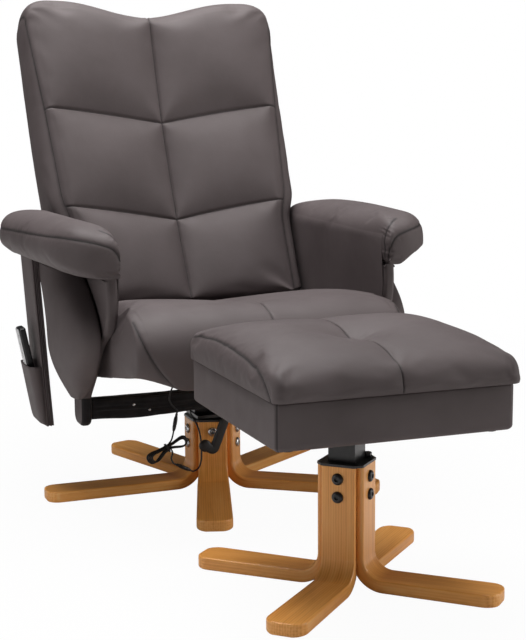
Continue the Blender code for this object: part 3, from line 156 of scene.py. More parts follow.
# %% Lamps
LAMPS = (                      # name, place, aim, width, height, power, colour
    ("top_light", (-0.15, 0.60, 2.90), (0.0, 0.0, 0.42), 2.20, 2.00, 100.0, (1.0, 0.985, 0.985)),
    ("front_light", (0.0, -1.30, 3.00), (0.0, -0.3, 0.30), 2.00, 1.60, 20.0, (1.0, 0.985, 0.98)),
    ("left_light", (-3.00, -0.20, 1.00), (0.0, 0.0, 0.40), 1.60, 1.60, 14.0, (1.0, 0.985, 0.98)),
    ("right_light", (2.60, -1.50, 1.10), (0.0, -0.2, 0.30), 1.40, 1.50, 30.0, (1.0, 0.975, 0.95)),
)
for name, place, aim, width, height, power, colour in LAMPS:
    lamp = bpy.data.lights.new(name, "AREA")
    lamp.shape = "RECTANGLE"
    lamp.size = width
    lamp.size_y = height
    lamp.energy = power
    lamp.color = colour
    holder = bpy.data.objects.new(name, lamp)
    holder.location = place
    holder.rotation_euler = (Vector(aim) - Vector(place)).to_track_quat("-Z", "Y").to_euler()
    scene.collection.objects.link(holder)
print(len(LAMPS), "lamps")

# %% World and floor
AMBIENT = 0.05
FLOOR_SIZE = 30.0
FLOOR_SINK = 0.0005            # just below the feet
FLOOR_TONE = (0.80, 0.79, 0.78, 1.0)
FLOOR_GLOW = 0.96              # share of the floor's white that no shadow dims, near the chair
SHADOW_FADE = (1.1, 2.3)       # distances between which the floor goes over to plain white
scene.view_settings.view_transform = "Standard"


def wire(tree, node, values):
    """Sets a node's inputs, by name or number, or links them to other nodes' outputs."""
    for key, value in values.items():
        if isinstance(value, bpy.types.NodeSocket):
            tree.links.new(value, node.inputs[key])
        else:
            node.inputs[key].default_value = value


def add_node(tree, kind, values, **options):
    """A new shader node with its options and its inputs set."""
    made = tree.nodes.new("ShaderNode" + kind)
    for name, value in options.items():
        setattr(made, name, value)
    wire(tree, made, values)
    return made


def in_metres(tree):
    return add_node(tree, "TexCoord", {}).outputs["Object"]


def seen_directly(tree):
    """1 for rays from the camera and through glass, 0 for the rays that carry light."""
    rays = add_node(tree, "LightPath", {}).outputs
    seen = {0: rays["Is Camera Ray"], 1: rays["Is Transmission Ray"]}
    return add_node(tree, "Math", seen, operation="MAXIMUM").outputs[0]


world = bpy.data.worlds.new("studio")
scene.world = world
world.use_nodes = True
tree = world.node_tree
white = tree.nodes["Background"]
wire(tree, white, {"Strength": 1.0, "Color": (1.0, 1.0, 1.0, 1.0)})
dim = add_node(tree, "Background", {"Color": (1.0, 0.99, 0.98, 1.0), "Strength": AMBIENT})
choose = add_node(tree, "MixShader", {"Fac": seen_directly(tree), 1: dim.outputs[0], 2: white.outputs[0]})
wire(tree, tree.nodes["World Output"], {"Surface": choose.outputs[0]})

floor_mesh = bpy.data.meshes.new("floor")
reach = FLOOR_SIZE / 2
floor_mesh.from_pydata([(-reach, -reach, 0), (reach, -reach, 0), (reach, reach, 0), (-reach, reach, 0)],
                       [], [(0, 1, 2, 3)])
floor = bpy.data.objects.new("floor", floor_mesh)
floor.location.z = -FLOOR_SINK
scene.collection.objects.link(floor)
paper = bpy.data.materials.new("white_paper")
paper.use_nodes = True
tree = paper.node_tree
tree.nodes.remove(tree.nodes["Principled BSDF"])
matt = add_node(tree, "BsdfDiffuse", {"Color": FLOOR_TONE})
glow = add_node(tree, "Emission", {"Strength": 1.0})
away = add_node(tree, "VectorMath", {0: in_metres(tree)}, operation="LENGTH")
whiter = add_node(tree, "MapRange", {"Value": away.outputs["Value"], "From Min": SHADOW_FADE[0],
                                     "From Max": SHADOW_FADE[1], "To Min": FLOOR_GLOW})
lit = {0: seen_directly(tree), 1: whiter.outputs["Result"]}
share = add_node(tree, "Math", lit, operation="MULTIPLY")
blend = add_node(tree, "MixShader", {"Fac": share.outputs[0], 1: matt.outputs[0], 2: glow.outputs[0]})
wire(tree, tree.nodes["Material Output"], {"Surface": blend.outputs[0]})
floor_mesh.materials.append(paper)
floor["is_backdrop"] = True
print("floor", FLOOR_SIZE, "m wide")

# %% [markdown]
# ## Finishes
# Every finish is one Principled shader fed by procedural textures in object space, which are
# metres here, so a leather pore can be given its true size. Numbers that hold all over a surface
# are set on the shader itself. Only what varies from place to place, such as colour, roughness and
# the bump, comes from textures.

# %% Helpers for materials
def new_finish(name, roughness, metallic=0.0, specular=0.5):
    """A material, its node tree and its Principled shader."""
    material = bpy.data.materials.new(name)
    material.use_nodes = True
    tree = material.node_tree
    shader = tree.nodes["Principled BSDF"]
    wire(tree, shader, {"Roughness": roughness, "Metallic": metallic, "Specular IOR Level": specular})
    return material, tree, shader


def ramp(tree, factor, stops):
    """A colour ramp through (place, colour) stops."""
    made = add_node(tree, "ValToRGB", {"Fac": factor})
    bar = made.color_ramp.elements
    while len(bar) < len(stops):
        bar.new(0.5)
    for stop, (place, colour) in zip(bar, stops):
        stop.position = place
        stop.color = (*colour, 1.0)
    return made.outputs["Color"]


def mottled(tree, where, scale, detail, roughness=0.5, distortion=0.0):
    """The value of a noise texture."""
    values = {"Vector": where, "Scale": scale, "Detail": detail, "Roughness": roughness,
              "Distortion": distortion}
    return add_node(tree, "TexNoise", values).outputs["Fac"]


def scaled(tree, vector, factors):
    return add_node(tree, "VectorMath", {0: vector, 1: factors}, operation="MULTIPLY").outputs["Vector"]


def spread(tree, value, low, high):
    """A 0 to 1 value stretched to low to high."""
    return add_node(tree, "MapRange", {"Value": value, "To Min": low, "To Max": high}).outputs["Result"]


def bumped(tree, height, strength, distance, under=None):
    """The normal of a bump, on top of another one if there is one under it."""
    made = add_node(tree, "Bump", {"Strength": strength, "Distance": distance, "Height": height})
    if under:
        wire(tree, made, {"Normal": under})
    return made.outputs["Normal"]


print("material helpers ready")

# %% [markdown]
# ### Leather
# The cover is a coated leather in a dark taupe: small round pores about a millimetre across,
# broad soft changes of tone where it was stretched, and a satin shine. Each cover carries a
# value called seam that is 1 on its stitched lines, where the leather's colour is darkened:
# that is painted shade in the fold of the seam.

# %% Leather
LEATHER_DARK = (0.086, 0.0695, 0.0700)
LEATHER_LIGHT = (0.110, 0.0905, 0.0915)
PORE_SCALE = 620.0
CREASE_SCALE = 95.0
leather, tree, shader = new_finish("leather", 0.58, specular=0.30)
place = in_metres(tree)
tone = ramp(tree, mottled(tree, place, 7.0, 3.0, 0.55), ((0.32, LEATHER_DARK), (0.70, LEATHER_LIGHT)))
# seam value: painted shade along each seam's fold, down to 0.22 of the leather's tone
seam = add_node(tree, "Attribute", {}, attribute_name="seam")
shade = spread(tree, seam.outputs["Fac"], 1.0, 0.22)
darker = add_node(tree, "VectorMath", {0: tone, "Scale": shade}, operation="SCALE")
pores = add_node(tree, "TexVoronoi", {"Vector": place, "Scale": PORE_SCALE})
grain = bumped(tree, pores.outputs["Distance"], 0.14, 0.0005)
creases = mottled(tree, place, CREASE_SCALE, 5.0, 0.6)
wire(tree, shader, {"Base Color": darker.outputs["Vector"],
                    "Roughness": spread(tree, mottled(tree, place, 36.0, 4.0, 0.6), 0.52, 0.68),
                    "Normal": bumped(tree, creases, 0.10, 0.0020, grain)})
print("leather pores", round(1000 / PORE_SCALE, 2), "mm")

# %% [markdown]
# ### Bent oak
# The legs are thin layers of oak glued round a bend, so the grain turns the corner with the leg.
# Object space can't do that. Instead each leg's points carry where they are in the flat blank,
# along, across and through it, and the textures read those. Streaks are long noise,
# growth lines are a wavy band pattern, and the glue lines show on the edges.

# %% Oak
OAK_DEEP = (0.690, 0.250, 0.038)
OAK_MID = (0.930, 0.425, 0.104)
OAK_PALE = (0.975, 0.590, 0.220)
PLY = 0.0027
oak, tree, shader = new_finish("oak", 0.36, specular=0.45)
blank = add_node(tree, "Attribute", {}, attribute_name="grain").outputs["Vector"]
streaks = mottled(tree, scaled(tree, blank, (5.0, 210.0, 210.0)), 1.0, 5.0, 0.62, 0.35)
clouds = mottled(tree, scaled(tree, blank, (6.0, 30.0, 30.0)), 1.0, 2.0)
wave = {"Vector": scaled(tree, blank, (0.9, 1.0, 1.0)), "Scale": 70.0, "Distortion": 1.4, "Detail": 2.0,
        "Detail Scale": 0.8}
bands = add_node(tree, "TexWave", wave, bands_direction="Y").outputs["Fac"]
through = add_node(tree, "SeparateXYZ", {0: blank}).outputs["Z"]
layer = add_node(tree, "Math", {0: through, 1: PLY}, operation="PINGPONG").outputs[0]
ply = add_node(tree, "MapRange", {"Value": layer, "From Max": PLY}).outputs["Result"]
figure = 0.0
for value, weight in ((streaks, 0.52), (bands, 0.11), (clouds, 0.30), (ply, 0.07)):
    figure = add_node(tree, "Math", {0: value, 1: weight, 2: figure}, operation="MULTIPLY_ADD").outputs[0]
wire(tree, shader, {"Base Color": ramp(tree, figure, ((0.28, OAK_DEEP), (0.52, OAK_MID), (0.78, OAK_PALE))),
                    "Roughness": spread(tree, streaks, 0.30, 0.46),
                    "Coat Weight": 0.22, "Coat Roughness": 0.18,
                    "Normal": bumped(tree, streaks, 0.10, 0.0006)})
print("oak layers", PLY * 1000, "mm")

# %% [markdown]
# ### Metals, plastics and cloth
# These are small or dark pieces, so their detail is in the surface: a fine orange peel on painted
# steel, faint turning marks on bright bolts, a moulded grain on the plastics, and a coarse weave
# on the black cloth. One function makes them all from a few numbers.

# %% Small finishes
def speckled(name, dark, light, roughness, scale, bump, metallic=0.0, specular=0.5, stretch=(1, 1, 1)):
    """A finish of two close tones with a fine bump of the given scale."""
    material, tree, shader = new_finish(name, roughness, metallic, specular)
    where = scaled(tree, in_metres(tree), stretch)
    soft = mottled(tree, where, scale / 12, 3.0)
    wire(tree, shader, {"Base Color": ramp(tree, soft, ((0.35, dark), (0.68, light))),
                        "Roughness": spread(tree, soft, roughness - 0.06, roughness + 0.08),
                        "Normal": bumped(tree, mottled(tree, where, scale, 3.0), bump, 0.0006)})
    return material


black_steel = speckled("black_steel", (0.010, 0.010, 0.011), (0.018, 0.017, 0.018), 0.30, 900.0, 0.10)
bright_steel = speckled("bright_steel", (0.50, 0.50, 0.51), (0.66, 0.66, 0.67), 0.24, 700.0, 0.05, 1.0)
black_plastic = speckled("black_plastic", (0.011, 0.011, 0.012), (0.018, 0.018, 0.019), 0.36, 1100.0, 0.12)
silver_plastic = speckled("silver_plastic", (0.55, 0.56, 0.57), (0.66, 0.67, 0.68), 0.32, 1000.0, 0.06)
rubber = speckled("cord", (0.009, 0.009, 0.010), (0.015, 0.014, 0.015), 0.42, 1500.0, 0.10)
plywood = speckled("plywood", (0.36, 0.24, 0.13), (0.54, 0.40, 0.25), 0.58, 300.0, 0.20, 0.0, 0.3,
                   (0.08, 1, 1))

WEAVE = 0.0011                 # from thread to thread
WEAVE_SCALE = 0.314            # of a wave texture with one thread in a metre
black_fabric, tree, shader = new_finish("black_fabric", 0.82, specular=0.25)
place = in_metres(tree)
worn = ramp(tree, mottled(tree, place, 40.0, 3.0),
            ((0.35, (0.006, 0.005, 0.006)), (0.72, (0.016, 0.014, 0.015))))
weave = add_node(tree, "TexWave", {"Vector": place, "Scale": WEAVE_SCALE / WEAVE}).outputs["Fac"]
wire(tree, shader, {"Base Color": worn, "Normal": bumped(tree, weave, 0.25, 0.0005), "Sheen Weight": 0.15,
                    "Sheen Roughness": 0.5})
print("small finishes ready")

# %% [markdown]
# ## Building meshes
# Three ways of making a skin do for nearly everything here. A loft runs over outlines of equal length
# and closes with a flat face at each end. A hollow piece joins its last outline to its first. A
# cover fills its ends with a grid of quads, because a stuffed piece has to bend everywhere. All come
# from lists of points, so a shape is described by where it is, not by how it was pushed about.

# %% Mesh helpers
SIDES = (("left", -1), ("right", 1))
QUARTERS = ((1, 1), (-1, 1), (-1, -1), (1, -1))


def add_piece(name, points, faces, finish, slot):
    """A smooth-shaded piece whose faces point outwards."""
    mesh = bpy.data.meshes.new(name)
    mesh.from_pydata([tuple(point) for point in points], [], faces)
    work = bmesh.new()
    work.from_mesh(mesh)
    bmesh.ops.recalc_face_normals(work, faces=work.faces)
    work.to_mesh(mesh)
    work.free()
    mesh.shade_smooth()
    mesh.materials.append(finish)
    piece = bpy.data.objects.new(name, mesh)
    scene.collection.objects.link(piece)
    return piece


def add_line(name, routes, width, resolution, finish):
    """Round lines of one width along routes of points, as one piece."""
    line = bpy.data.curves.new(name, "CURVE")
    line.dimensions = "3D"
    line.bevel_depth = width / 2
    line.bevel_resolution = resolution
    line.use_fill_caps = True
    for route in routes:
        spline = line.splines.new("POLY")
        spline.points.add(len(route) - 1)
        for target, point in zip(spline.points, route):
            target.co = (*point, 1.0)
    line.materials.append(finish)
    piece = bpy.data.objects.new(name, line)
    scene.collection.objects.link(piece)
    return piece


def rows_of_quads(rows, count, closed):
    """Quads between rows of points of the same length. closed joins each row's end to its start."""
    faces = []
    for row in range(rows - 1):
        for i in range(count if closed else count - 1):
            j = (i + 1) % count
            a = row * count
            faces.append((a + i, a + j, a + count + j, a + count + i))
    return faces


def loft(outlines):
    """Points and faces of a skin over closed outlines, with a flat face at each end."""
    count = len(outlines[0])
    points = [point for outline in outlines for point in outline]
    last = len(points) - count
    ends = [tuple(range(count)), tuple(range(last, len(points)))]
    return points, rows_of_quads(len(outlines), count, True) + ends


def hollow(rings):
    """Points and faces of a skin whose last ring joins its first, like the wall of a pot."""
    points = [point for ring in rings for point in ring]
    faces = rows_of_quads(len(rings) + 1, len(rings[0]), True)
    return points, [tuple(i % len(points) for i in face) for face in faces]


def together(parts):
    """Several (points, faces) as one."""
    points = []
    faces = []
    for more_points, more_faces in parts:
        start = len(points)
        points += list(more_points)
        faces += [tuple(start + i for i in face) for face in more_faces]
    return points, faces


def travelled(line):
    """How far along a line each of its points is."""
    run = [0.0]
    for a, b in zip(line, line[1:]):
        run.append(run[-1] + (b - a).length)
    return run


def even(points, count):
    """A line through the points, as count points at even steps along it, both ends included."""
    line = [Vector(point) for point in points]
    run = travelled(line)
    steps = []
    k = 0
    for i in range(count):
        at = run[-1] * i / (count - 1)
        while k < len(run) - 2 and run[k + 1] < at:
            k += 1
        share = (at - run[k]) / max(run[k + 1] - run[k], 1e-9)
        steps.append(line[k].lerp(line[k + 1], min(1.0, max(0.0, share))))
    return steps


def smooth_route(route, step):
    """Points at even steps along a smooth curve through the route's own points."""
    points = [Vector(point) for point in route]
    points = [2 * points[0] - points[1]] + points + [2 * points[-1] - points[-2]]
    curve = []
    for a, b, c, d in zip(points, points[1:], points[2:], points[3:]):
        count = max(1, round((c - b).length / step))
        for i in range(count):
            t = i / count
            curve.append(0.5 * (2 * b + (c - a) * t + (2 * a - 5 * b + 4 * c - d) * t * t
                                + (3 * b - a - 3 * c + d) * t ** 3))
    return curve + [points[-2]]


def eased(low, high, count, pull):
    """count places from low up to, not including, high, closer together near both ends."""
    places = []
    for i in range(count):
        t = i / count
        places.append(low + (high - low) * (t - pull * math.sin(2 * math.pi * t) / (2 * math.pi)))
    return places


def arc(centre, radius, start, end, steps):
    """Points along an arc, both ends included. Angles in degrees."""
    points = []
    for i in range(steps + 1):
        angle = math.radians(start + (end - start) * i / steps)
        points.append((centre[0] + radius * math.cos(angle), centre[1] + radius * math.sin(angle)))
    return points


def rounded(half_x, half_y, corner, steps):
    """Outline of a rectangle with round corners, about the middle."""
    line = []
    for turn, (x, y) in enumerate(QUARTERS):
        line += arc((x * (half_x - corner), y * (half_y - corner)), corner, 90 * turn, 90 * turn + 90, steps)
    return line


def mirrored(points, side):
    """Points of the right arm, moved to the arm on one side of the chair."""
    return on_chair([(side * x, y, z) for x, y, z in points])


def bent(value, power):
    """A power that keeps the sign: below 1 it makes a circle squarer."""
    return math.copysign(abs(value) ** power, value)


def between(low, high, share):
    return low + (high - low) * share


def around(count, shift=0.0):
    """Angles at even steps round a circle."""
    return [2 * math.pi * (i + shift) / count for i in range(count)]


def round_off(gone):
    """How far a round edge is drawn in, from 0 where it starts to 1 at its end."""
    return 1 - math.sqrt(max(0.0, 1 - gone * gone))


def smooth_step(share):
    share = min(1.0, max(0.0, share))
    return share * share * (3 - 2 * share)


def sharpen(piece, angle):
    """Sharp edges past an angle."""
    piece.data.set_sharp_from_angle(angle=math.radians(angle))


def crisp(piece, angle):
    """Sharp edges past an angle, and flat faces that look flat beside round ones."""
    sharpen(piece, angle)
    flat = piece.modifiers.new("flat_faces", "WEIGHTED_NORMAL")
    flat.keep_sharp = True


print("mesh helpers ready")

# %% [markdown]
# ## The lead under the seat
# A thin black lead leaves the seat, passes a moulded plug, lies in a tied bow of a few turns, and
# goes through a second plug back up to the bar. A lead has one fixed length, so it is made as
# one open curve with a round section from end to end. The bow is a formula: two lobes drawn in at
# the waist, each turn a little smaller and a little further back than the one before.

# %% Route of the lead
CORD = 0.0034
STRAIGHT = 2 * CORD
SEAT_UNDER = 0.2482
SEAT_SLOPE = -0.1685
BAR_BOTTOM = 0.169
UPPER_START = (-0.098, -0.064)
UPPER_LEAD = ((-0.1010, -0.0660, 0.2380), (-0.1090, -0.0640, 0.2180), (-0.1120, -0.0610, 0.2010),
              (-0.1050, -0.0585, 0.1860))
UPPER_PLUG = (Vector((-0.0965, -0.0600, 0.1690)), Vector((-0.1060, -0.0680, 0.1355)))
LOWER_PLUG = (Vector((-0.1090, -0.0945, 0.0715)), Vector((-0.0800, -0.0945, 0.0570)))
LOWER_LEAD = ((-0.0630, -0.0945, 0.0590), (-0.0565, -0.0942, 0.0740), (-0.0550, -0.0925, 0.0950),
              (-0.0545, -0.0890, 0.1150), (-0.0560, -0.0820, 0.1340), (-0.0585, -0.0660, 0.1500))
LOWER_END = (-0.0600, -0.0400)
BOW_CENTRE = (-0.1255, -0.0860, 0.1060)
BOW_TURNS = 3.5
BOW_FROM = 0.23
BOW_PAST = 0.27
BOW_LOBE = 0.047
BOW_SPREAD = 0.028
BOW_LOSS = 0.0025
BOW_WAIST = 0.0027
BOW_DEPTH = 0.0042
BOW_TILTS = (math.radians(34), math.radians(17))
BOW_HEAD = (-0.1130, -0.0740, 0.1180)
BOW_TAIL = ((-0.1165, -0.0940, 0.0965), (-0.1200, -0.0945, 0.0850))
BOW_STEPS = 40


def seat_under(y):
    """Height of the seat's underside."""
    return SEAT_UNDER + SEAT_SLOPE * y


def bow_point(turn):
    angle = 2 * math.pi * turn
    x = (BOW_LOBE - BOW_LOSS * turn) * math.cos(angle)
    spread_here = BOW_SPREAD - BOW_LOSS * turn
    w = math.sin(angle) * (BOW_WAIST + (spread_here - BOW_WAIST) * math.cos(angle) ** 2)
    right = 0.5 + 0.5 * math.tanh(x / (BOW_LOBE / 4))
    tilt = between(*BOW_TILTS, right)
    depth = BOW_DEPTH * (BOW_TURNS / 2 + 0.25 - turn)
    return Vector((BOW_CENTRE[0] + x * math.cos(tilt) - w * math.sin(tilt), BOW_CENTRE[1] + depth,
                   BOW_CENTRE[2] + x * math.sin(tilt) + w * math.cos(tilt)))


def beyond(plug, end):
    """The plug's end and a place straight out of it."""
    axis = (plug[end] - plug[1 - end]).normalized()
    return [plug[end] + axis * GAP, plug[end] + axis * STRAIGHT]


down = Vector((0.0, SEAT_SLOPE, -1.0)).normalized()
first = Vector((*UPPER_START, seat_under(UPPER_START[1]))) + down * GAP
last = Vector((*LOWER_END, BAR_BOTTOM - GAP))
turns = BOW_TURNS + BOW_PAST - BOW_FROM
bow = [bow_point(BOW_FROM + turns * i / (BOW_STEPS * 4)) for i in range(BOW_STEPS * 4 + 1)]
FINE = 0.004
lead_route = smooth_route([first, first + down * STRAIGHT, *UPPER_LEAD, *beyond(UPPER_PLUG, 0)[::-1]], FINE)
lead_route += smooth_route([*beyond(UPPER_PLUG, 1), BOW_HEAD, bow[0]], FINE)[:-1]
lead_route += bow
lead_route += smooth_route([bow[-1], *BOW_TAIL, *beyond(LOWER_PLUG, 0)[::-1]], FINE)[1:]
lead_route += smooth_route([*beyond(LOWER_PLUG, 1), *LOWER_LEAD, last - Vector((0, 0, STRAIGHT)), last], FINE)
lead_route = on_chair(lead_route)

# %% The lead, its plugs and its tie
PLUG_ROUND = 20
PLUG_PROFILE = ((0.00, 0.62), (0.05, 0.66), (0.09, 0.60), (0.13, 0.72), (0.17, 0.66), (0.22, 0.86),
                (0.34, 0.98), (0.48, 1.00), (0.62, 0.98), (0.66, 0.86), (0.70, 0.96), (0.82, 0.88),
                (0.92, 0.72), (1.00, 0.62))
PLUG_RADIUS = 0.0042


def rod_rings(start, end, profile, radius, steps):
    """Rings about a straight axis. profile lists (share of the length, share of the radius)."""
    axis = end - start
    side = axis.orthogonal().normalized()
    other = axis.cross(side).normalized()
    rings = []
    for share, wide in profile:
        ring = []
        for angle in around(steps):
            out = side * math.cos(angle) + other * math.sin(angle)
            ring.append(start + axis * share + out * radius * wide)
        rings.append(ring)
    return rings


lead = add_line("massage_lead", [lead_route], CORD, 3, rubber)
for name, ends in (("upper", UPPER_PLUG), ("lower", LOWER_PLUG)):
    rings = rod_rings(*on_chair(ends), PLUG_PROFILE, PLUG_RADIUS, PLUG_ROUND)
    plug = add_piece(f"lead_plug_{name}", *loft(rings), black_plastic, "black_plastic")
    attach(plug, "seat_frame")
    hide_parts(f"cord_{name}_plug")
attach(lead, "seat_frame")
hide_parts("cord_upper_lead", "cord_hank", "cord_lower_lead")

# %% [markdown]
# ## Stuffed covers
# A leather cushion is a sewn bag with foam pressed into it: the panels bulge, the seams stay where
# the thread holds them, and small creases run out of each seam. That is just what a cloth
# simulation does when the seams are pinned and air pushes from inside. Each cushion is laid
# out as a cover that is a little too flat, its seams are noted as it is built, and all covers
# are blown up in one run.

# %% Cover helper
FULLNESS = 0.36                # of a stuffed panel: less is fuller
SEAM_PULL = 0.80               # how much closer the points lie beside a seam
covers = []


def cover_mesh(loops, rows, columns):
    """Points and quads of a closed cover over side outlines.

    Each loop holds columns - 1 points at one end, rows points along one face, columns - 1
    at the other end and rows points back along the opposite face. The two outer loops are filled
    with a grid that joins the faces.
    """
    count = len(loops[0])
    points = [Vector(point) for loop in loops for point in loop]
    faces = rows_of_quads(len(loops), count, True)
    for base in (0, (len(loops) - 1) * count):
        low = [base + i for i in range(columns - 1)]
        front = [base + columns - 1 + i for i in range(rows)]
        top = [base + columns - 1 + rows + i for i in range(columns - 1)]
        rear = [base + 2 * (columns - 1) + rows + i for i in range(rows)][::-1]
        grid = [[front[0], *low[::-1], rear[0]]]
        bottom_row = grid[0]
        top_row = [front[-1], *top, rear[-1]]
        for r in range(1, rows - 1):
            v = r / (rows - 1)
            row = [front[r]]
            for c in range(1, columns):
                u = c / columns
                sides = points[front[r]].lerp(points[rear[r]], u)
                ends = points[bottom_row[c]].lerp(points[top_row[c]], v)
                low_edge = points[front[0]].lerp(points[rear[0]], u)
                high_edge = points[front[-1]].lerp(points[rear[-1]], u)
                points.append(sides + ends - low_edge.lerp(high_edge, v))
                row.append(len(points) - 1)
            grid.append(row + [rear[r]])
        grid.append(top_row)
        for lower, upper in zip(grid, grid[1:]):
            for c in range(columns):
                faces.append((lower[c], lower[c + 1], upper[c + 1], upper[c]))
    return points, faces


def add_cover(name, mesh, seams, held, cap, pressure, spare, loose=(), routes=()):
    """A cover for the simulation.

    seams are runs of point numbers and held the points that rest on a board. cap is how far a point may
    travel, and spare the share by which the leather is cut larger than its place. loose seams swell with
    the leather, and routes are seams drawn on it afterwards.
    """
    piece = add_piece(name, *mesh, leather, "leather")
    covers.append({"piece": piece, "seams": seams, "held": held, "cap": cap, "pressure": pressure,
                   "spare": spare, "loose": loose, "routes": routes})
    print(name, len(piece.data.vertices), "points,", len(seams), "seams")
    return piece


def rounding(half, edge, steps):
    """Places across a round side, from the outermost inwards, with how far the outline is drawn in."""
    places = []
    for i in range(steps):
        angle = math.pi / 2 * i / steps
        places.append((half - edge + edge * math.cos(angle), edge * (1 - math.sin(angle))))
    return places


def across_places(half, edge, steps, inner, pull):
    """Places across a cushion with a seam in the middle and one in each round side."""
    side = rounding(half, edge, steps)
    flat = half - edge
    left = [(-x, drawn) for x, drawn in side]
    middle = [(x, 0.0) for x in eased(-flat, 0.0, inner, pull) + eased(0.0, flat, inner, pull) + [flat]]
    return left + middle + side[::-1]


def swell(share):
    """Rise of a stuffed panel between its seams at 0 and 1."""
    return max(0.0, math.sin(math.pi * share)) ** FULLNESS


def shifted(x, half, seam, inset):
    """x once the side seam, laid out at seam, is moved to a given inset. Middle and side stay."""
    size = abs(x)
    target = half - inset
    if size <= seam:
        moved = size * target / seam
    else:
        moved = target + (size - seam) * inset / (half - seam)
    return math.copysign(moved, x)


print("cover helpers ready")

# %% [markdown]
# ### Back cushion
# Six panels in two columns, parted by an upright seam and two level seams that dip to the middle,
# with a boxed side whose seam runs up each edge. The back leans and curves, so its points
# are worked out from s, the way up the curved centre line, and n, the way out in front of it.

# %% Back cushion
BACK_HALVES = (0.262, 0.279, 0.2895)   # between the arms, above them and at the top
BACK_WIDENS = (0.170, 0.250)
BACK_FOOT = (0.128, 0.376)
BACK_LENGTH = 0.680
BACK_LEANS = (math.radians(34), math.radians(16.5))
BACK_SEAMS = (0.189, 0.420)
BACK_SEAM_RISE = 0.028
BACK_SEAM_BOW = 1.7
BACK_TOP_RISE = 0.034
BACK_LOBE = 0.190
BACK_CORNER = 0.060
BACK_WRAP = 0.034
BACK_WRAP_WAVE = (0.8, 0.3)    # its run along the back and where it starts
BACK_THICK = 0.100
BACK_PILLOW = 0.012
BACK_GUSSET = ((0.24, 0.45, 0.64), (0.023, 0.015, 0.003))   # places along the back, and the seam's inset
BACK_EDGE = 0.022
BACK_ROWS = 20
BACK_COLUMNS = 10
BACK_SIDE_STEPS = 6
BACK_INNER = 22


def back_point(s, n):
    """Y and Z of a place s along the back's centre line and n in front of it."""
    bend = (BACK_LEANS[0] - BACK_LEANS[1]) / BACK_LENGTH
    lean = BACK_LEANS[0] - bend * s
    y = BACK_FOOT[0] + (math.cos(lean) - math.cos(BACK_LEANS[0])) / bend
    z = BACK_FOOT[1] + (math.sin(BACK_LEANS[0]) - math.sin(lean)) / bend
    return y - n * math.cos(lean), z + n * math.sin(lean)


def back_half(s):
    """Half width of the back, wider above the arms."""
    low, middle, top = BACK_HALVES
    start, end = BACK_WIDENS
    if s < end:
        return low + (middle - low) * smooth_step((s - start) / (end - start))
    return middle + (top - middle) * (s - end) / (BACK_LENGTH - end)


def back_top(x):
    """Length of the back at one place across it: a dip between two lobes, and round corners."""
    lobe = math.sin(math.pi / 2 * min(1.0, abs(x) / BACK_LOBE)) ** 2
    past = max(0.0, abs(x) - (BACK_HALVES[2] - BACK_CORNER)) / BACK_CORNER
    corner = BACK_CORNER * round_off(min(1.0, past))
    return BACK_LENGTH + BACK_TOP_RISE * lobe - corner


def back_loop(x, drawn):
    """Side outline of the back cushion at one place across it."""
    across = min(1.0, abs(x) / (BACK_HALVES[0] - BACK_EDGE))
    rise = BACK_SEAM_RISE * (1 - (1 - across) ** BACK_SEAM_BOW)
    top = back_top(x * BACK_HALVES[2] / BACK_HALVES[0]) - BACK_EDGE
    marks = [0.0, BACK_SEAMS[0] + rise, BACK_SEAMS[1] + rise, top]
    shrink = 1 - 2 * drawn / (top + BACK_EDGE)

    def place(s, front, depth):
        """A point s up the back, depth 0 on its rear face to 1 on its front face."""
        n = -BACK_THICK + drawn + depth * (front + BACK_THICK - 2 * drawn)
        up = drawn + s * shrink
        y, z = back_point(up, n)
        inset = float(np.interp(up, *BACK_GUSSET))
        seam_x = BACK_HALVES[0] - BACK_EDGE * (1 - math.sqrt(0.5))
        return shifted(x, BACK_HALVES[0], seam_x, inset) * back_half(up) / BACK_HALVES[0], y, z

    def wrap(s):
        share = min(1.0, max(0.0, s / BACK_LENGTH))
        return BACK_WRAP * across ** 2 * math.sin(math.pi * share * BACK_WRAP_WAVE[0] + BACK_WRAP_WAVE[1])

    face = []
    for low, high in zip(marks, marks[1:]):
        for s in eased(low, high, BACK_ROWS, SEAM_PULL):
            pillow = BACK_PILLOW * swell(across) * swell((s - low) / (high - low))
            face.append((s, wrap(s) + pillow))
    face.append((top, wrap(top)))
    foot = face[0][1]
    loop = [place(0.0, foot, i / BACK_COLUMNS) for i in range(1, BACK_COLUMNS)]
    loop += [place(s, front, 1.0) for s, front in face]
    for i in range(1, BACK_COLUMNS):
        angle = math.pi * i / BACK_COLUMNS
        loop.append(place(top + BACK_EDGE * math.sin(angle), face[-1][1], (1 + math.cos(angle)) / 2))
    loop += [place(s, front, 0.0) for s, front in face[::-1]]
    return loop


back_rows = 3 * BACK_ROWS + 1
back_places = across_places(BACK_HALVES[0], BACK_EDGE, BACK_SIDE_STEPS, BACK_INNER, SEAM_PULL)
back_loops = [on_chair(back_loop(x, drawn)) for x, drawn in back_places]
size = len(back_loops[0])
face_start = BACK_COLUMNS - 1
middle = BACK_SIDE_STEPS + BACK_INNER
gusset = BACK_SIDE_STEPS // 2
back_seams = [[middle * size + face_start + r for r in range(back_rows + BACK_COLUMNS - 1)]]
for k in (gusset, len(back_places) - 1 - gusset):
    back_seams.append([k * size + face_start + r for r in range(back_rows + BACK_COLUMNS - 1)])
for r in (BACK_ROWS, 2 * BACK_ROWS):
    back_seams.append([k * size + face_start + r for k in range(gusset, len(back_places) - gusset)])
back_held = []
for k in range(len(back_places)):
    back_held += [k * size + i for i in range(face_start)]
    back_held += [k * size + size - 1 - r for r in range(back_rows)]
back = add_cover("back_cushion_cover", cover_mesh(back_loops, back_rows, BACK_COLUMNS), back_seams, back_held,
                 cap=0.024, pressure=3.5, spare=0.002)

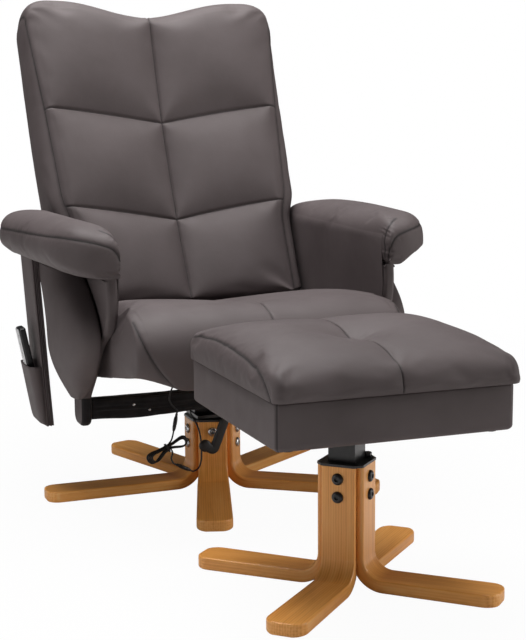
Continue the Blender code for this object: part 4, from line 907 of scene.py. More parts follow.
# %% [markdown]
# ### Seat cushion
# The seat is one wide sheet that rolls over the front edge, with a seam down the middle and a boxed
# side. Its side outline has four stretches, the underside, the nose, the top and the rear, and
# each is measured out evenly so that the two broad faces have points opposite each other.

# %% Seat cushion
SEAT_HALF = 0.267
SEAT_REAR = 0.113
SEAT_FRONT = -0.395
SEAT_REAR_TOP = 0.368
SEAT_CREST = (-0.300, 0.424)
SEAT_NOSE_Z = 0.345
SEAT_TUCK = 0.022
SEAT_EDGE = 0.020
SEAT_PILLOW = 0.003
SEAT_ROWS = 56
SEAT_COLUMNS = 12
SEAT_CREST_ROWS = 7            # of the top, from the nose to where the side seam is lost
SEAT_SIDE_STEPS = 6
SEAT_INNER = 24
SEAT_APRON = 0.029             # how far the front sheet hangs below the sides
SEAT_APRON_SIDE = 0.268
SEAT_APRON_RUN = 0.105
SEAT_GUSSET = (0.004, 0.072)   # inset of the side seam, on top and at the nose's foot
SEAT_DEEP = 0.13
SEAT_MIDDLE = 0.055
SEAT_ROUNDS = (0.12, 0.20, 0.60)   # shares of the side's rounding below, on top and in front


def seat_loop(x, drawn):
    """Side outline of the seat cushion at one place across it."""
    rise = SEAT_PILLOW * swell(min(1.0, abs(x) / (SEAT_HALF - SEAT_EDGE)))
    nose = SEAT_FRONT + SEAT_TUCK
    seam_x = SEAT_HALF - SEAT_EDGE * (1 - math.sqrt(0.5))
    foot_x = abs(shifted(x, SEAT_HALF, seam_x, SEAT_GUSSET[1]))
    foot = seat_under(nose) - SEAT_APRON * smooth_step((SEAT_APRON_SIDE - foot_x) / SEAT_APRON_RUN)
    behind = nose + 2 * SEAT_APRON
    under = even([(SEAT_REAR, seat_under(SEAT_REAR)), (behind, seat_under(behind)), (nose, foot)], SEAT_ROWS)
    lower = [(nose - SEAT_TUCK * math.sin(a), SEAT_NOSE_Z - (SEAT_NOSE_Z - foot) * math.cos(a))
             for a in (math.pi / 2 * i / 8 for i in range(9))]
    crest_y, crest_z = SEAT_CREST
    upper = [(crest_y - (crest_y - SEAT_FRONT) * math.cos(a),
              SEAT_NOSE_Z + (crest_z + rise - SEAT_NOSE_Z) * math.sin(a))
             for a in (math.pi / 2 * i / 16 for i in range(17))]
    face = even(lower + upper[1:5], SEAT_COLUMNS + 1)
    top = upper[4:]
    for i in range(1, 25):
        t = i / 24
        top.append((crest_y + (SEAT_REAR - crest_y) * t,
                    crest_z + (SEAT_REAR_TOP - crest_z) * t + rise * (1 - t ** 4)))
    top = even(top, SEAT_ROWS)
    rear = even([top[-1], under[0]], SEAT_COLUMNS + 1)
    loop = [*rear[1:-1], *under, *face[1:-1], *top]
    mid_y = (SEAT_FRONT + SEAT_REAR) / 2
    long = 1 - 2 * SEAT_ROUNDS[2] * drawn / (SEAT_REAR - SEAT_FRONT)
    drawn_in = []
    for y, z in loop:
        mid_z = seat_under(y) + SEAT_MIDDLE
        low = min(1.0, max(0.0, (crest_z - z) / (crest_z - foot))) if y < crest_y else 0.0
        inset = between(*SEAT_GUSSET, low ** 2)
        aside = shifted(x, SEAT_HALF, seam_x, inset)
        taken = drawn * SEAT_ROUNDS[z > mid_z]
        height = mid_z + (z - mid_z) * (1 - 2 * taken / SEAT_DEEP)
        drawn_in.append((aside, mid_y + (y - mid_y) * long, height))
    return drawn_in


seat_places = across_places(SEAT_HALF, SEAT_EDGE, SEAT_SIDE_STEPS, SEAT_INNER, SEAM_PULL)
seat_loops = [on_chair(seat_loop(x, drawn)) for x, drawn in seat_places]
size = len(seat_loops[0])
middle = SEAT_SIDE_STEPS + SEAT_INNER
gusset = SEAT_SIDE_STEPS // 2
upper_run = range(SEAT_COLUMNS - 1 + SEAT_ROWS, size)
seat_seams = [[middle * size + i for i in upper_run]]
front_run = range(SEAT_COLUMNS - 1 + SEAT_ROWS, size - SEAT_ROWS + SEAT_CREST_ROWS)
seat_sides = [[k * size + i for i in front_run] for k in (gusset, len(seat_places) - 1 - gusset)]
seat_held = [k * size + i for k in range(len(seat_places)) for i in range(SEAT_COLUMNS - 1 + SEAT_ROWS)]
seat = add_cover("seat_cushion_cover", cover_mesh(seat_loops, SEAT_ROWS, SEAT_COLUMNS), seat_seams, seat_held,
                 cap=0.022, pressure=0.5, spare=0.001, loose=seat_sides)

# %% [markdown]
# ### Footstool lid
# The lid is built like the seat: one sheet over the front, boxed sides, a seam from back to front,
# and in the middle a sewn tuft that pulls the top down and gathers folds towards itself. In the
# simulation the tuft is simply a few pinned points that start lower than their neighbours.

# %% Lid cushion
BOX_X = 0.409
BOX_Y = 0.404
BOX_BOTTOM = 0.292
BOX_TOP = 0.368
LID_LOW = 0.370
LID_SIDE = 0.006
LID_FRONT = 0.014
LID_REAR = 0.003
LID_EDGE = 0.046
LID_CROWN = 0.030
LID_CROWN_SHAPE = (5.0, 2.8)   # squareness of the crown, across and along
LID_CROWN_SIDE = 0.35          # share of the crown that is left at the sides
LID_SIDE_SEAM = ((0.196, 0.040), (0.130, 0.053), (0.053, 0.058), (-0.070, 0.050), (-0.140, 0.037),
                 (-0.178, 0.020), (-0.196, 0.001))   # along the side and up from its lower edge
LID_ROUND = 0.016
LID_NOSE = 0.028               # rounding of the front edge
LID_BELLY = 0.003
LID_SEAM = 0.005
LID_SEAM_REACH = 0.020
TUFT_Y = -0.030
TUFT_DEPTH = 0.026
TUFT_REACH = 0.044
TUFT_RADIUS = 0.009
LID_ROWS = 56
LID_COLUMNS = 8
LID_SIDE_STEPS = 6
LID_INNER = 26


def lid_height(x, y):
    """Rise of the lid's top over its edge."""
    across = min(1.0, abs(x) / (BOX_X / 2 + LID_SIDE - LID_ROUND))
    along = min(1.0, abs(y) / (BOX_Y / 2 + LID_REAR - LID_ROUND))
    crown = LID_CROWN * (1 - (1 - LID_CROWN_SIDE) * across ** LID_CROWN_SHAPE[0])
    crown *= 1 - along ** LID_CROWN_SHAPE[1]
    seam = LID_SEAM * math.exp(-abs(x) / LID_SEAM_REACH)
    tuft = TUFT_DEPTH * math.exp(-math.hypot(x, y - TUFT_Y) / TUFT_REACH)
    return crown - seam * (1 - along) - tuft


def lid_loop(x, drawn):
    """Side outline of the lid at one place across it."""
    front = -BOX_Y / 2 - LID_FRONT
    rear = BOX_Y / 2 + LID_REAR
    edge = LID_LOW + LID_EDGE - LID_ROUND
    nose = LID_LOW + LID_EDGE - LID_NOSE
    under = even([(rear, LID_LOW), (front, LID_LOW)], LID_ROWS)
    belly = [(front - LID_BELLY * math.sin(math.pi * i / 10), LID_LOW + (nose - LID_LOW) * i / 10)
             for i in range(11)]
    face = even(belly, LID_COLUMNS + 1)
    top = arc((front + LID_NOSE, nose), LID_NOSE, 180, 95, 8)
    steps = 80
    for i in range(steps + 1):
        y = front + LID_NOSE + (rear - front - LID_NOSE - LID_ROUND) * i / steps
        top.append((y, edge + LID_ROUND + lid_height(x, y)))
    top += arc((rear - LID_ROUND, edge), LID_ROUND, 85, 0, 6)
    top = even(top, LID_ROWS)
    back_face = even([top[-1], under[0]], LID_COLUMNS + 1)
    loop = [*back_face[1:-1], *under, *face[1:-1], *top]
    mid_y = (front + rear) / 2
    long = 1 - 2 * drawn / (rear - front)
    tall = 1 - drawn / LID_EDGE
    return [(x, mid_y + (y - mid_y) * long, LID_LOW + (z - LID_LOW) * tall) for y, z in loop]


lid_places = across_places(BOX_X / 2 + LID_SIDE, LID_ROUND, LID_SIDE_STEPS, LID_INNER, SEAM_PULL)
lid_loops = [on_stool(lid_loop(x, drawn)) for x, drawn in lid_places]
size = len(lid_loops[0])
middle = LID_SIDE_STEPS + LID_INNER
upper_run = range(LID_COLUMNS - 1 + LID_ROWS, size)
lid_seams = [[middle * size + i for i in upper_run]]
lid_half = BOX_X / 2 + LID_SIDE
lid_sides = [on_stool([(x, y, LID_LOW + up) for y, up in LID_SIDE_SEAM]) for x in (-lid_half, lid_half)]
lid_held = [k * size + i for k in range(len(lid_places)) for i in range(LID_COLUMNS - 1 + LID_ROWS)]
tuft_place = STOOL + Vector((0.0, TUFT_Y, 0.0))
for k in range(len(lid_places)):
    for i in upper_run:
        point = Vector(lid_loops[k][i])
        if math.hypot(point.x - tuft_place.x, point.y - tuft_place.y) < TUFT_RADIUS:
            lid_held.append(k * size + i)
lid = add_cover("lid_cushion_cover", cover_mesh(lid_loops, LID_ROWS, LID_COLUMNS), lid_seams, lid_held,
                cap=0.022, pressure=3.0, spare=0.003, routes=lid_sides)

# %% [markdown]
# ### Arm pads
# A pad is a long roll, flat where it sits on the arm, with a blunt nose and a slimmer tail. It is
# laid out in rings along its length. A band of leather goes round the outer side and the nose, and
# the seam on top of that band is where the gathers are.

# %% Arm pads
ARM_INNER = 0.270
ARM_BOARD = 0.022
ARM_TOP = 0.485
PAD_INNERS = (0.270, 0.275)    # inner side, at the front and behind
PAD_OUTERS = (0.371, 0.404)
PAD_SPLAY_END = 0.130
PAD_HEIGHT = 0.096
PAD_FALL = 0.009
PAD_FRONT = -0.298
PAD_REAR = 0.262
PAD_NOSE = 0.095
PAD_TAIL = 0.130
PAD_NOSE_TIP = (0.34, 0.54)    # shares of width and height at the very front
PAD_TAIL_TIP = (0.40, 0.80)    # and at the very rear
PAD_BLUNT = 2.2
PAD_LIFTS = {"left": 0.0, "right": 0.028}   # of the nose's outer lower side
PAD_LIFT_RUN = 0.150
PAD_LIFT_OUT = 0.058
PAD_ROWS = 24
PAD_COLUMNS = 8
PAD_COUNT = 2 * PAD_ROWS + 2 * (PAD_COLUMNS - 1)
PAD_RINGS = 40
HELD = 0.004                   # points this near to the arm's board don't swell
PAD_WAIST = 0.42
PAD_ROUND = 0.75
PAD_BELLY = 1.0                # roundness of the outer side, below its waist
PAD_FLUSH = (0.10, 0.40)       # squareness of the inner side, below and above its waist
PAD_SEAM = ((0.401, 0.220, 0.540), (0.400, 0.114, 0.543), (0.392, 0.018, 0.547), (0.384, -0.079, 0.551),
            (0.371, -0.205, 0.557), (0.347, -0.269, 0.557), (0.307, -0.294, 0.549), (0.286, -0.298, 0.541),
            (0.274, -0.297, 0.525), (0.271, -0.291, 0.505), (0.2700, -0.287, 0.4865))
PAD_CORNER = ((0.300, -0.261, 0.573), (0.285, -0.273, 0.566), (0.277, -0.278, 0.557),
              (0.2705, -0.2755, 0.532), (0.2701, -0.279, 0.515), (0.2705, -0.277, 0.498))   # seam at the nose


def pad_share(y):
    """Shares of the pad's width and height that are left near its nose and its tail."""
    gone = 0.0
    tip = PAD_NOSE_TIP
    if y < PAD_FRONT + PAD_NOSE:
        gone = (PAD_FRONT + PAD_NOSE - y) / PAD_NOSE
    elif y > PAD_REAR - PAD_TAIL:
        gone = (y - PAD_REAR + PAD_TAIL) / PAD_TAIL
        tip = PAD_TAIL_TIP
    full = max(0.0, 1 - min(1.0, gone) ** PAD_BLUNT) ** (1 / PAD_BLUNT)
    return between(tip[0], 1, full), between(tip[1], 1, full)


def pad_ring(y, lift):
    """Cross outline of the right pad at one place along it, from the middle of its underside."""
    along = min(1.0, max(0.0, (y - PAD_FRONT) / (PAD_SPLAY_END - PAD_FRONT)))
    inner = between(*PAD_INNERS, along)
    outer = between(*PAD_OUTERS, along)
    wide, tall = pad_share(y)
    width = (outer - inner) * wide
    height = (PAD_HEIGHT - PAD_FALL * (y - PAD_FRONT) / (PAD_REAR - PAD_FRONT)) * tall
    lift *= max(0.0, 1 - (y - PAD_FRONT) / PAD_LIFT_RUN)
    ring = []
    for i in range(PAD_COUNT):
        angle = -math.pi / 2 - 2 * math.pi * (i + 0.5 - (PAD_COLUMNS - 1) / 2) / PAD_COUNT
        cos = math.cos(angle)
        sin = math.sin(angle)
        outer_bend = PAD_ROUND if sin > 0 else PAD_BELLY
        bend = outer_bend if cos > 0 else PAD_FLUSH[sin > 0]
        x = inner + width * (1 + bent(cos, bend)) / 2
        z = bent(sin, PAD_ROUND) * height * (1 - PAD_WAIST if sin > 0 else PAD_WAIST)
        z += lift * max(0.0, -sin) * max(0.0, min(1.0, (x - ARM_INNER - ARM_BOARD) / PAD_LIFT_OUT))
        ring.append((x, y, ARM_TOP + GAP + height * PAD_WAIST + z))
    return ring


pad_along = [PAD_FRONT + PAD_NOSE * (1 - math.cos(math.pi / 2 * i / 14)) for i in range(14)]
plain = PAD_REAR - PAD_TAIL - PAD_FRONT - PAD_NOSE
pad_along += [PAD_FRONT + PAD_NOSE + plain * i / PAD_RINGS for i in range(PAD_RINGS)]
pad_along += [PAD_REAR - PAD_TAIL * (1 - math.sin(math.pi / 2 * i / 16)) for i in range(17)]
pads = {}
for label, side in SIDES:
    rings = [mirrored(pad_ring(y, PAD_LIFTS[label]), side) for y in pad_along]
    held = []
    for k, ring in enumerate(rings):
        held += [k * PAD_COUNT + i for i, point in enumerate(ring) if point.z < ARM_TOP + HELD]
    pad_routes = [mirrored(route, side) for route in (PAD_SEAM, PAD_CORNER)]
    pads[label] = add_cover(f"arm_pad_cover_{label}", cover_mesh(rings, PAD_ROWS, PAD_COLUMNS), [], held,
                            cap=0.010, pressure=4.0, spare=0.002, routes=pad_routes)

# %% [markdown]
# ### Arm panels
# Outside each arm hangs a padded leaf, broad under the pad and narrow at its foot. Its inner face
# lies flat on the board, and its outer face is a full curve. Rings from the foot up give that,
# from a short table of how far forward and back the leaf reaches at each height.

# %% Arm panels
PANEL_THICK = 0.064
PANEL_FOOT = 0.20              # share of the thickness at the foot
PANEL_GROWTH = 1.10            # how fast it thickens above it
PANEL_ROUND = 0.47             # of its outer face: less is squarer
PANEL_EDGE = ((0.214, -0.052, 0.006), (0.220, -0.076, 0.008), (0.250, -0.140, 0.012),
              (0.290, -0.197, 0.018), (0.330, -0.236, 0.026), (0.365, -0.246, 0.034), (0.400, -0.226, 0.046),
              (0.435, -0.182, 0.062), (0.465, -0.130, 0.082), (0.4847, -0.100, 0.100))
PANEL_ROWS = 16
PANEL_COLUMNS = 4
PANEL_STEP = 0.0075


def panel_ring(level):
    """Outline of the right panel at one height: flat against the board, round outside."""
    z, front, rear = level
    foot = PANEL_EDGE[0][0]
    share = (z - foot) / (ARM_TOP - foot)
    thick = PANEL_THICK * (PANEL_FOOT + (1 - PANEL_FOOT) * math.sin(math.pi * min(0.5, PANEL_GROWTH * share)))
    inner = ARM_INNER + ARM_BOARD + GAP
    outer = []
    for i in range(49):
        angle = math.pi * i / 48
        outer.append((inner + thick * math.sin(angle) ** PANEL_ROUND,
                      (front + rear) / 2 - (rear - front) / 2 * math.cos(angle), z))
    outside = even(outer, 2 * PANEL_ROWS + PANEL_COLUMNS - 1)
    inside = even([outside[-1], outside[0]], PANEL_COLUMNS + 1)[1:-1]
    return [*inside, *outside]


levels = smooth_route(PANEL_EDGE, PANEL_STEP)
limit = ARM_INNER + ARM_BOARD + HELD
for label, side in SIDES:
    rings = [mirrored(panel_ring(level), side) for level in levels]
    count = len(rings[0])
    held = []
    for k, ring in enumerate(rings):
        outermost = k in (0, len(rings) - 1)
        held += [k * count + i for i, point in enumerate(ring) if outermost or abs(point.x) < limit]
    panel_mesh = cover_mesh(rings, PANEL_ROWS, PANEL_COLUMNS)
    pads[f"panel_{label}"] = add_cover(f"arm_panel_cover_{label}", panel_mesh, [], held,
                                       cap=0.008, pressure=2.0, spare=0.0)

# %% [markdown]
# ### Blowing the covers up
# The cloth run takes twenty frames without gravity. Points on seams and on the boards are pinned.
# Each point's travel is capped, so that no cushion outgrows the space it has. Then the Cloth is
# taken off again and only the shape is kept.

# %% Simulate all covers
SIM_FRAMES = 20
LEATHER_STRETCH = 15.0
LEATHER_BEND = 0.5


def positions(mesh):
    co = np.empty(len(mesh.vertices) * 3)
    mesh.vertices.foreach_get("co", co)
    return co.reshape(-1, 3)


def stuff(items):
    """Blows up every cover between its pinned points."""
    for item in items:
        piece = item["piece"]
        pins = piece.vertex_groups.new(name="pins")
        pinned = set(item["held"]) | {i for run in item["seams"] for i in run}
        pins.add(sorted(pinned), 1.0, "REPLACE")
        cloth = piece.modifiers.new("stuffing", "CLOTH")
        cloth.collision_settings.use_collision = False
        settings = cloth.settings
        settings.quality = 6
        settings.tension_stiffness = LEATHER_STRETCH
        settings.compression_stiffness = LEATHER_STRETCH
        settings.shear_stiffness = LEATHER_STRETCH / 2
        settings.bending_stiffness = LEATHER_BEND
        settings.shrink_min = -item["spare"]
        settings.shrink_max = -item["spare"]
        settings.effector_weights.gravity = 0.0
        settings.use_pressure = True
        settings.uniform_pressure_force = item["pressure"]
        settings.vertex_group_mass = "pins"
        cloth.point_cache.frame_start = 1
        cloth.point_cache.frame_end = SIM_FRAMES
    for step in range(1, SIM_FRAMES + 1):
        scene.frame_set(step)
    depsgraph = bpy.context.evaluated_depsgraph_get()
    swollen = [positions(item["piece"].evaluated_get(depsgraph).data) for item in items]
    for item, after in zip(items, swollen):
        piece = item["piece"]
        before = positions(piece.data)
        move = after - before
        reach = np.linalg.norm(move, axis=1)
        share = np.minimum(1.0, item["cap"] / np.maximum(reach, 1e-9))
        piece.modifiers.clear()
        piece.vertex_groups.clear()
        piece.data.vertices.foreach_set("co", (before + move * share[:, None]).ravel())
        piece.data.update()
        print(piece.name, "swelled by up to", round(1000 * float(reach.max()), 1), "mm, mean",
              round(1000 * float(reach.mean()), 1), "mm")
    scene.frame_set(1)


stuff(covers)

# %% [markdown]
# ### Sewing
# A seam is a fold turned inwards, so its points are pressed in along the surface. Then the covers are
# subdivided once, which rounds the panels, and three things follow on the finer mesh: the seam
# value, which paints shade into the fold, the gathers, small folds that leave the seam at a right
# angle and die out within a few centimetres, and a fine thread that lies in the fold, near-black so
# that it also paints the fold's shade as a dark line.

# %% Seams and gathers
SEAM_SHADE = 0.0024
SEAM_PRESS = 0.0034
LINE_PRESS = 0.0014            # depth and half width of a loose seam's fold
LINE_WIDTH = 0.0034
LINE_STEP = 0.003
GATHER_START = 0.004           # from the seam to where its folds begin
THREAD = 0.0016
THREAD_SUNK = 0.25             # share of it that lies in the leather
# A real thread sits in each fold, and its near-black colour paints the fold's shade as a dark line too.
seam_thread = speckled("seam_thread", (0.010, 0.008, 0.008), (0.018, 0.014, 0.014), 0.62, 1200.0, 0.20)
threads = {}


def subdivided(piece):
    """The piece with one smooth subdivision made real."""
    step = piece.modifiers.new("finer", "SUBSURF")
    step.levels = 1
    step.render_levels = 1
    finer = bpy.data.meshes.new_from_object(piece.evaluated_get(bpy.context.evaluated_depsgraph_get()))
    piece.modifiers.clear()
    coarse = piece.data
    piece.data = finer
    bpy.data.meshes.remove(coarse)
    finer.name = piece.name


def normals(mesh):
    values = np.empty(len(mesh.vertices) * 3)
    mesh.vertex_normals.foreach_get("vector", values)
    return values.reshape(-1, 3)


def along_seam(run):
    """A seam's points close together, with how far along it each one is."""
    line = even(run, max(8, len(run) * 3))
    tree = kdtree.KDTree(len(line))
    for i, point in enumerate(line):
        tree.insert(point, i)
    tree.balance()
    return tree, travelled(line)


def surface_of(mesh, co):
    return BVHTree.FromPolygons([Vector(point) for point in co], [face.vertices for face in mesh.polygons])


def lay_thread(piece, skin, runs):
    """A fine thread in every seam of a cover, as one piece. Its near-black colour also paints the fold's
    shade as a dark line.
    """
    routes = []
    for run in runs:
        touched = [skin.find_nearest(point)[:2] for point in smooth_route(run, LINE_STEP)]
        routes.append([place - out * THREAD * THREAD_SUNK for place, out in touched])
    threads[piece.name] = add_line(f"{piece.name}_thread", routes, THREAD, 1, seam_thread)


def sew(item, gathers):
    """Presses a cover's seams in, refines it, and adds the seam value and the gathers."""
    piece = item["piece"]
    mesh = piece.data
    co = positions(mesh)
    out = normals(mesh)
    on_seam = sorted({i for run in item["seams"] for i in run})
    co[on_seam] -= out[on_seam] * SEAM_PRESS
    mesh.vertices.foreach_set("co", co.ravel())
    mesh.update()
    runs = [[Vector(co[i]) for i in run] for run in [*item["seams"], *item["loose"]]]
    subdivided(piece)
    mesh = piece.data
    co = positions(mesh)
    out = normals(mesh)
    skin = surface_of(mesh, co)
    for route in item["routes"]:
        runs.append([skin.find_nearest(point)[0] for point in smooth_route(route, LINE_STEP)])
    # shade: the seam value, painted shade along each seam's fold
    shade = np.zeros(len(co))
    for number, run in enumerate(runs):
        tree, run_length = along_seam(run)
        depth, pitch, reach = gathers.get(number, (0.0, 1.0, 0.0))
        for i, point in enumerate(co):
            _, nearest, distance = tree.find(point)
            if distance < 4 * SEAM_SHADE:
                shade[i] = max(shade[i], math.exp(-(distance / SEAM_SHADE) ** 2))
            if number >= len(item["seams"]) and distance < 3 * LINE_WIDTH:
                co[i] -= out[i] * LINE_PRESS * math.exp(-(distance / LINE_WIDTH) ** 2)
            if distance < 2.5 * reach:
                t = run_length[nearest]
                phase = 2 * math.pi * t / pitch + 3.0 * noise.noise((t / pitch * 0.37, number, 0.5))
                loose = 0.55 + 0.9 * noise.noise((t / pitch * 0.61, 7.3, number))
                fold = depth * max(0.0, loose) * (0.5 + 0.5 * math.sin(phase))
                fade = math.exp(-(distance / reach) ** 2) * (1 - math.exp(-(distance / GATHER_START) ** 2))
                co[i] -= out[i] * fold * fade
    mesh.vertices.foreach_set("co", co.ravel())
    if runs:
        lay_thread(piece, surface_of(mesh, co), runs)
    value = mesh.attributes.new("seam", "FLOAT", "POINT")
    value.data.foreach_set("value", shade.astype(np.float32))
    mesh.shade_smooth()
    mesh.update()
    print(piece.name, "now", len(mesh.polygons), "faces")


GATHERS = {                    # depth, pitch and reach of the folds along each seam
    "back_cushion_cover": {1: (0.0008, 0.022, 0.010), 2: (0.0010, 0.020, 0.012)},
    "seat_cushion_cover": {1: (0.0010, 0.024, 0.012), 2: (0.0010, 0.024, 0.012)},
    "lid_cushion_cover": {0: (0.0008, 0.022, 0.010), 1: (0.0008, 0.017, 0.011), 2: (0.0008, 0.017, 0.011)},
    "arm_pad_cover_left": {0: (0.0014, 0.013, 0.010), 1: (0.0026, 0.009, 0.015)},
    "arm_pad_cover_right": {0: (0.0010, 0.013, 0.010), 1: (0.0026, 0.009, 0.015)},
}
for item in covers:
    sew(item, GATHERS.get(item["piece"].name, {}))

# %% Folds round the tuft
TUFT_FOLDS = 8
TUFT_FOLD_DEPTH = 0.0024
TUFT_FOLD_REACH = 0.036
TUFT_FOLD_START = 0.010
co = positions(lid.data)
for i, point in enumerate(co):
    away = Vector((point[0] - tuft_place.x, point[1] - tuft_place.y))
    if away.length < 3 * TUFT_FOLD_REACH and point[2] > LID_LOW + LID_EDGE / 2:
        angle = math.atan2(away.y, away.x)
        ripple = 0.5 + 0.5 * math.cos(TUFT_FOLDS * angle + 2.0 * noise.noise((angle, 3.1, 0.4)))
        fade = math.exp(-(away.length / TUFT_FOLD_REACH) ** 2)
        fade *= 1 - math.exp(-(away.length / TUFT_FOLD_START) ** 2)
        co[i][2] -= TUFT_FOLD_DEPTH * ripple * fade
lid.data.vertices.foreach_set("co", co.ravel())
lid.data.update()
print(TUFT_FOLDS, "folds round the tuft")

# %% Fasten the covers
for piece, body, fill, nodes in (
        (back, "back", 0.7, ["back_cushion"]),
        (seat, "seat_frame", 0.7, ["seat_cushion"]),
        (lid, "lid", 0.7, ["lid_cushion"]),
        (pads["left"], "seat_frame", 0.8, ["arm_pad_left"]),
        (pads["right"], "seat_frame", 0.8, ["arm_pad_right"]),
        (pads["panel_left"], "seat_frame", 0.8, ["arm_panel_left"]),
        (pads["panel_right"], "seat_frame", 0.8, ["arm_panel_right"])):
    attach(piece, body)
    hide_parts(*nodes)
    if piece.name in threads:
        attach(threads[piece.name], body)
print(len(covers), "covers fastened,", len(threads), "threads")

# %% [markdown]
# ### Rear of the back
# Behind the cushion is a thin padded board in the same leather. It is a slab that follows the back's
# curve, with round edges and a slight crown, made of rings from its foot to its top.

# %% Rear board
REAR_THICK = 0.015
REAR_HALF = 0.225
REAR_DROP = 0.036
REAR_SHORT = 0.060
REAR_CORNER = 0.030
REAR_RINGS = 64
REAR_ROUND = 40
REAR_EDGE = 0.25               # share of the thickness at the ends
REAR_SQUARE = (0.25, 0.35)     # across and through: less is squarer


def rear_ring(share):
    """Outline of the rear board at one height: flat against the cushion, rounded behind."""
    low = -REAR_DROP
    high = BACK_LENGTH - REAR_SHORT
    s = low + (high - low) * share
    edge = min(s - low, high - s, REAR_CORNER) / REAR_CORNER
    gone = round_off(1 - edge)
    half = REAR_HALF - REAR_CORNER * gone
    thick = REAR_THICK * between(REAR_EDGE, 1, min(1.0, 1.4 * (1 - gone)))
    ring = []
    for angle in around(REAR_ROUND, 0.5):
        cos = math.cos(angle)
        sin = math.sin(angle)
        n = -BACK_THICK - GAP - thick / 2 + bent(sin, REAR_SQUARE[1]) * thick / 2
        ring.append((bent(cos, REAR_SQUARE[0]) * half, *back_point(s, n)))
    return ring


shares = [(1 - math.cos(math.pi * i / REAR_RINGS)) / 2 for i in range(REAR_RINGS + 1)]
rear_board = add_piece("back_rear_cover", *loft([on_chair(rear_ring(share)) for share in shares]),
                       leather, "leather")
crisp(rear_board, 60)
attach(rear_board, "back")
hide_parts("back_board")
print("rear board", len(rear_board.data.polygons), "faces")

# %% [markdown]
# ### Cloth behind the seat
# The back turns on hinges behind the seat and leaves a gap there. A strip of black cloth stapled
# behind the seat closes it, with slits for the hinge plates. Each length is a thin sagging slab, made
# of two sections, and it hangs low enough for the foot of the back to swing over it.

# %% Gap cloth
CLOTH_EDGES = ((0.1125, 0.285), (0.205, 0.236))
CLOTH_SAG = 0.014
CLOTH_THICK = 0.0012
CLOTH_STEPS = 8
CLOTH_LENGTHS = ((-0.262, -0.2140), (-0.2040, 0.2040), (0.2140, 0.262))


def cloth_section(x):
    """The cloth from its front edge to its rear one, and back on its other side."""
    (y, z), (far_y, far_z) = CLOTH_EDGES
    below = []
    for i in range(CLOTH_STEPS + 1):
        share = i / CLOTH_STEPS
        sag = CLOTH_SAG * math.sin(math.pi * share)
        below.append((x, between(y, far_y, share), between(z, far_z, share) - sag))
    return below + [(x, y, z + CLOTH_THICK) for x, y, z in reversed(below)]


lengths = [loft([on_chair(cloth_section(x)) for x in ends]) for ends in CLOTH_LENGTHS]
cloth = add_piece("gap_cloth", *together(lengths), black_fabric, "black_fabric")
crisp(cloth, 40)
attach(cloth, "seat_frame")
print("cloth in", len(lengths), "lengths")

# %% [markdown]
# ### Arm boards
# Each arm stands on a board wrapped in leather, with a narrow foot that holds the cross bar. The
# front edge of the wrap is gathered into folds that run along it. Fifteen outlines across the
# thickness give the round edges and those folds.

# %% Arm boards
BOARD_FOOT = (-0.055, 0.012)   # front and rear of the narrow foot
BOARD_FOOT_TOP = 0.215
BOARD_FOOT_LOW = 0.155
BOARD_FOOT_CORNER = 0.022
BOARD_FRONT = ((-0.274, 0.4847), (-0.276, 0.445), (-0.268, 0.405), (-0.246, 0.372), (-0.205, 0.345),
               (-0.150, 0.305), (-0.105, 0.262))
BOARD_REAR = ((0.090, 0.260), (0.190, 0.320), (0.225, 0.390), (0.240, 0.4847))
BOARD_LAYERS = 15
BOARD_EDGE = 0.0080
BOARD_STEP = 0.006
FOLD = 0.0011
FOLDS = 4


def board_outline(depth):
    """Side outline of an arm board at one depth, 0 on its inner face to 1 on its outer face."""
    r = BOARD_FOOT_CORNER
    front = smooth_route([*BOARD_FRONT, (BOARD_FOOT[0], BOARD_FOOT_TOP)], BOARD_STEP)
    foot = arc((BOARD_FOOT[0] + r, BOARD_FOOT_LOW + r), r, 180, 270, 6)
    foot += arc((BOARD_FOOT[1] - r, BOARD_FOOT_LOW + r), r, 270, 360, 6)
    rear = smooth_route([(BOARD_FOOT[1], BOARD_FOOT_TOP), *BOARD_REAR], BOARD_STEP)
    line = [*front, *(Vector(point) for point in foot), *rear]
    near = min(depth, 1 - depth) * ARM_BOARD
    gone = max(0.0, 1 - near / BOARD_EDGE)
    drawn = BOARD_EDGE * round_off(gone)
    outline = []
    for i, point in enumerate(line):
        before = line[i - 1]
        after = line[(i + 1) % len(line)]
        way = (after - before).normalized()
        inward = Vector((-way.y, way.x))
        amount = drawn
        if i < len(front) - 4 and 0.10 < depth < 0.90:
            amount += FOLD * (0.5 + 0.5 * math.cos(2 * math.pi * FOLDS * depth + 8 * point.y))
        outline.append(point + inward * amount)
    return outline


for label, side in SIDES:
    layers = []
    for k in range(BOARD_LAYERS):
        depth = (1 - math.cos(math.pi * k / (BOARD_LAYERS - 1))) / 2
        x = side * (ARM_INNER + ARM_BOARD * depth)
        layers.append(on_chair([(x, point.x, point.y) for point in board_outline(depth)]))
    board = add_piece(f"arm_board_cover_{label}", *loft(layers), leather, "leather")
    board.data.materials.append(black_fabric)
    for face in board.data.polygons:
        low = face.center.z < BOARD_FOOT_TOP and face.center.y < CHAIR.y + BOARD_FOOT[0] + BOARD_FOOT_CORNER
        if low and abs(face.normal.x) < 0.8:
            face.material_index = 1
    crisp(board, 60)
    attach(board, "seat_frame")
    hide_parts(f"arm_board_{label}")
print("arm boards made")

# %% [markdown]
# ### Inner face of the arms
# Inside each arm one sheet of leather runs from the pad down over the board, so no joint shows there.
# It is found by looking outwards from the seat: where the line of sight meets the pad the sheet
# lies on it, and below the pad it is pulled straight down to the board.

# %% Inner sheets
SHEET_HEIGHTS = (0.335, 0.550)
SHEET_PULL = (0.390, 0.524)    # between the board and the pad
SHEET_PROUD = 0.0007
SHEET_THICK = 0.0012
SHEET_INSET = 0.007
SHEET_SINK = 0.014             # height over which its upper edge sinks into the pad
SHEET_ROWS = 48
SHEET_ACROSS = 64


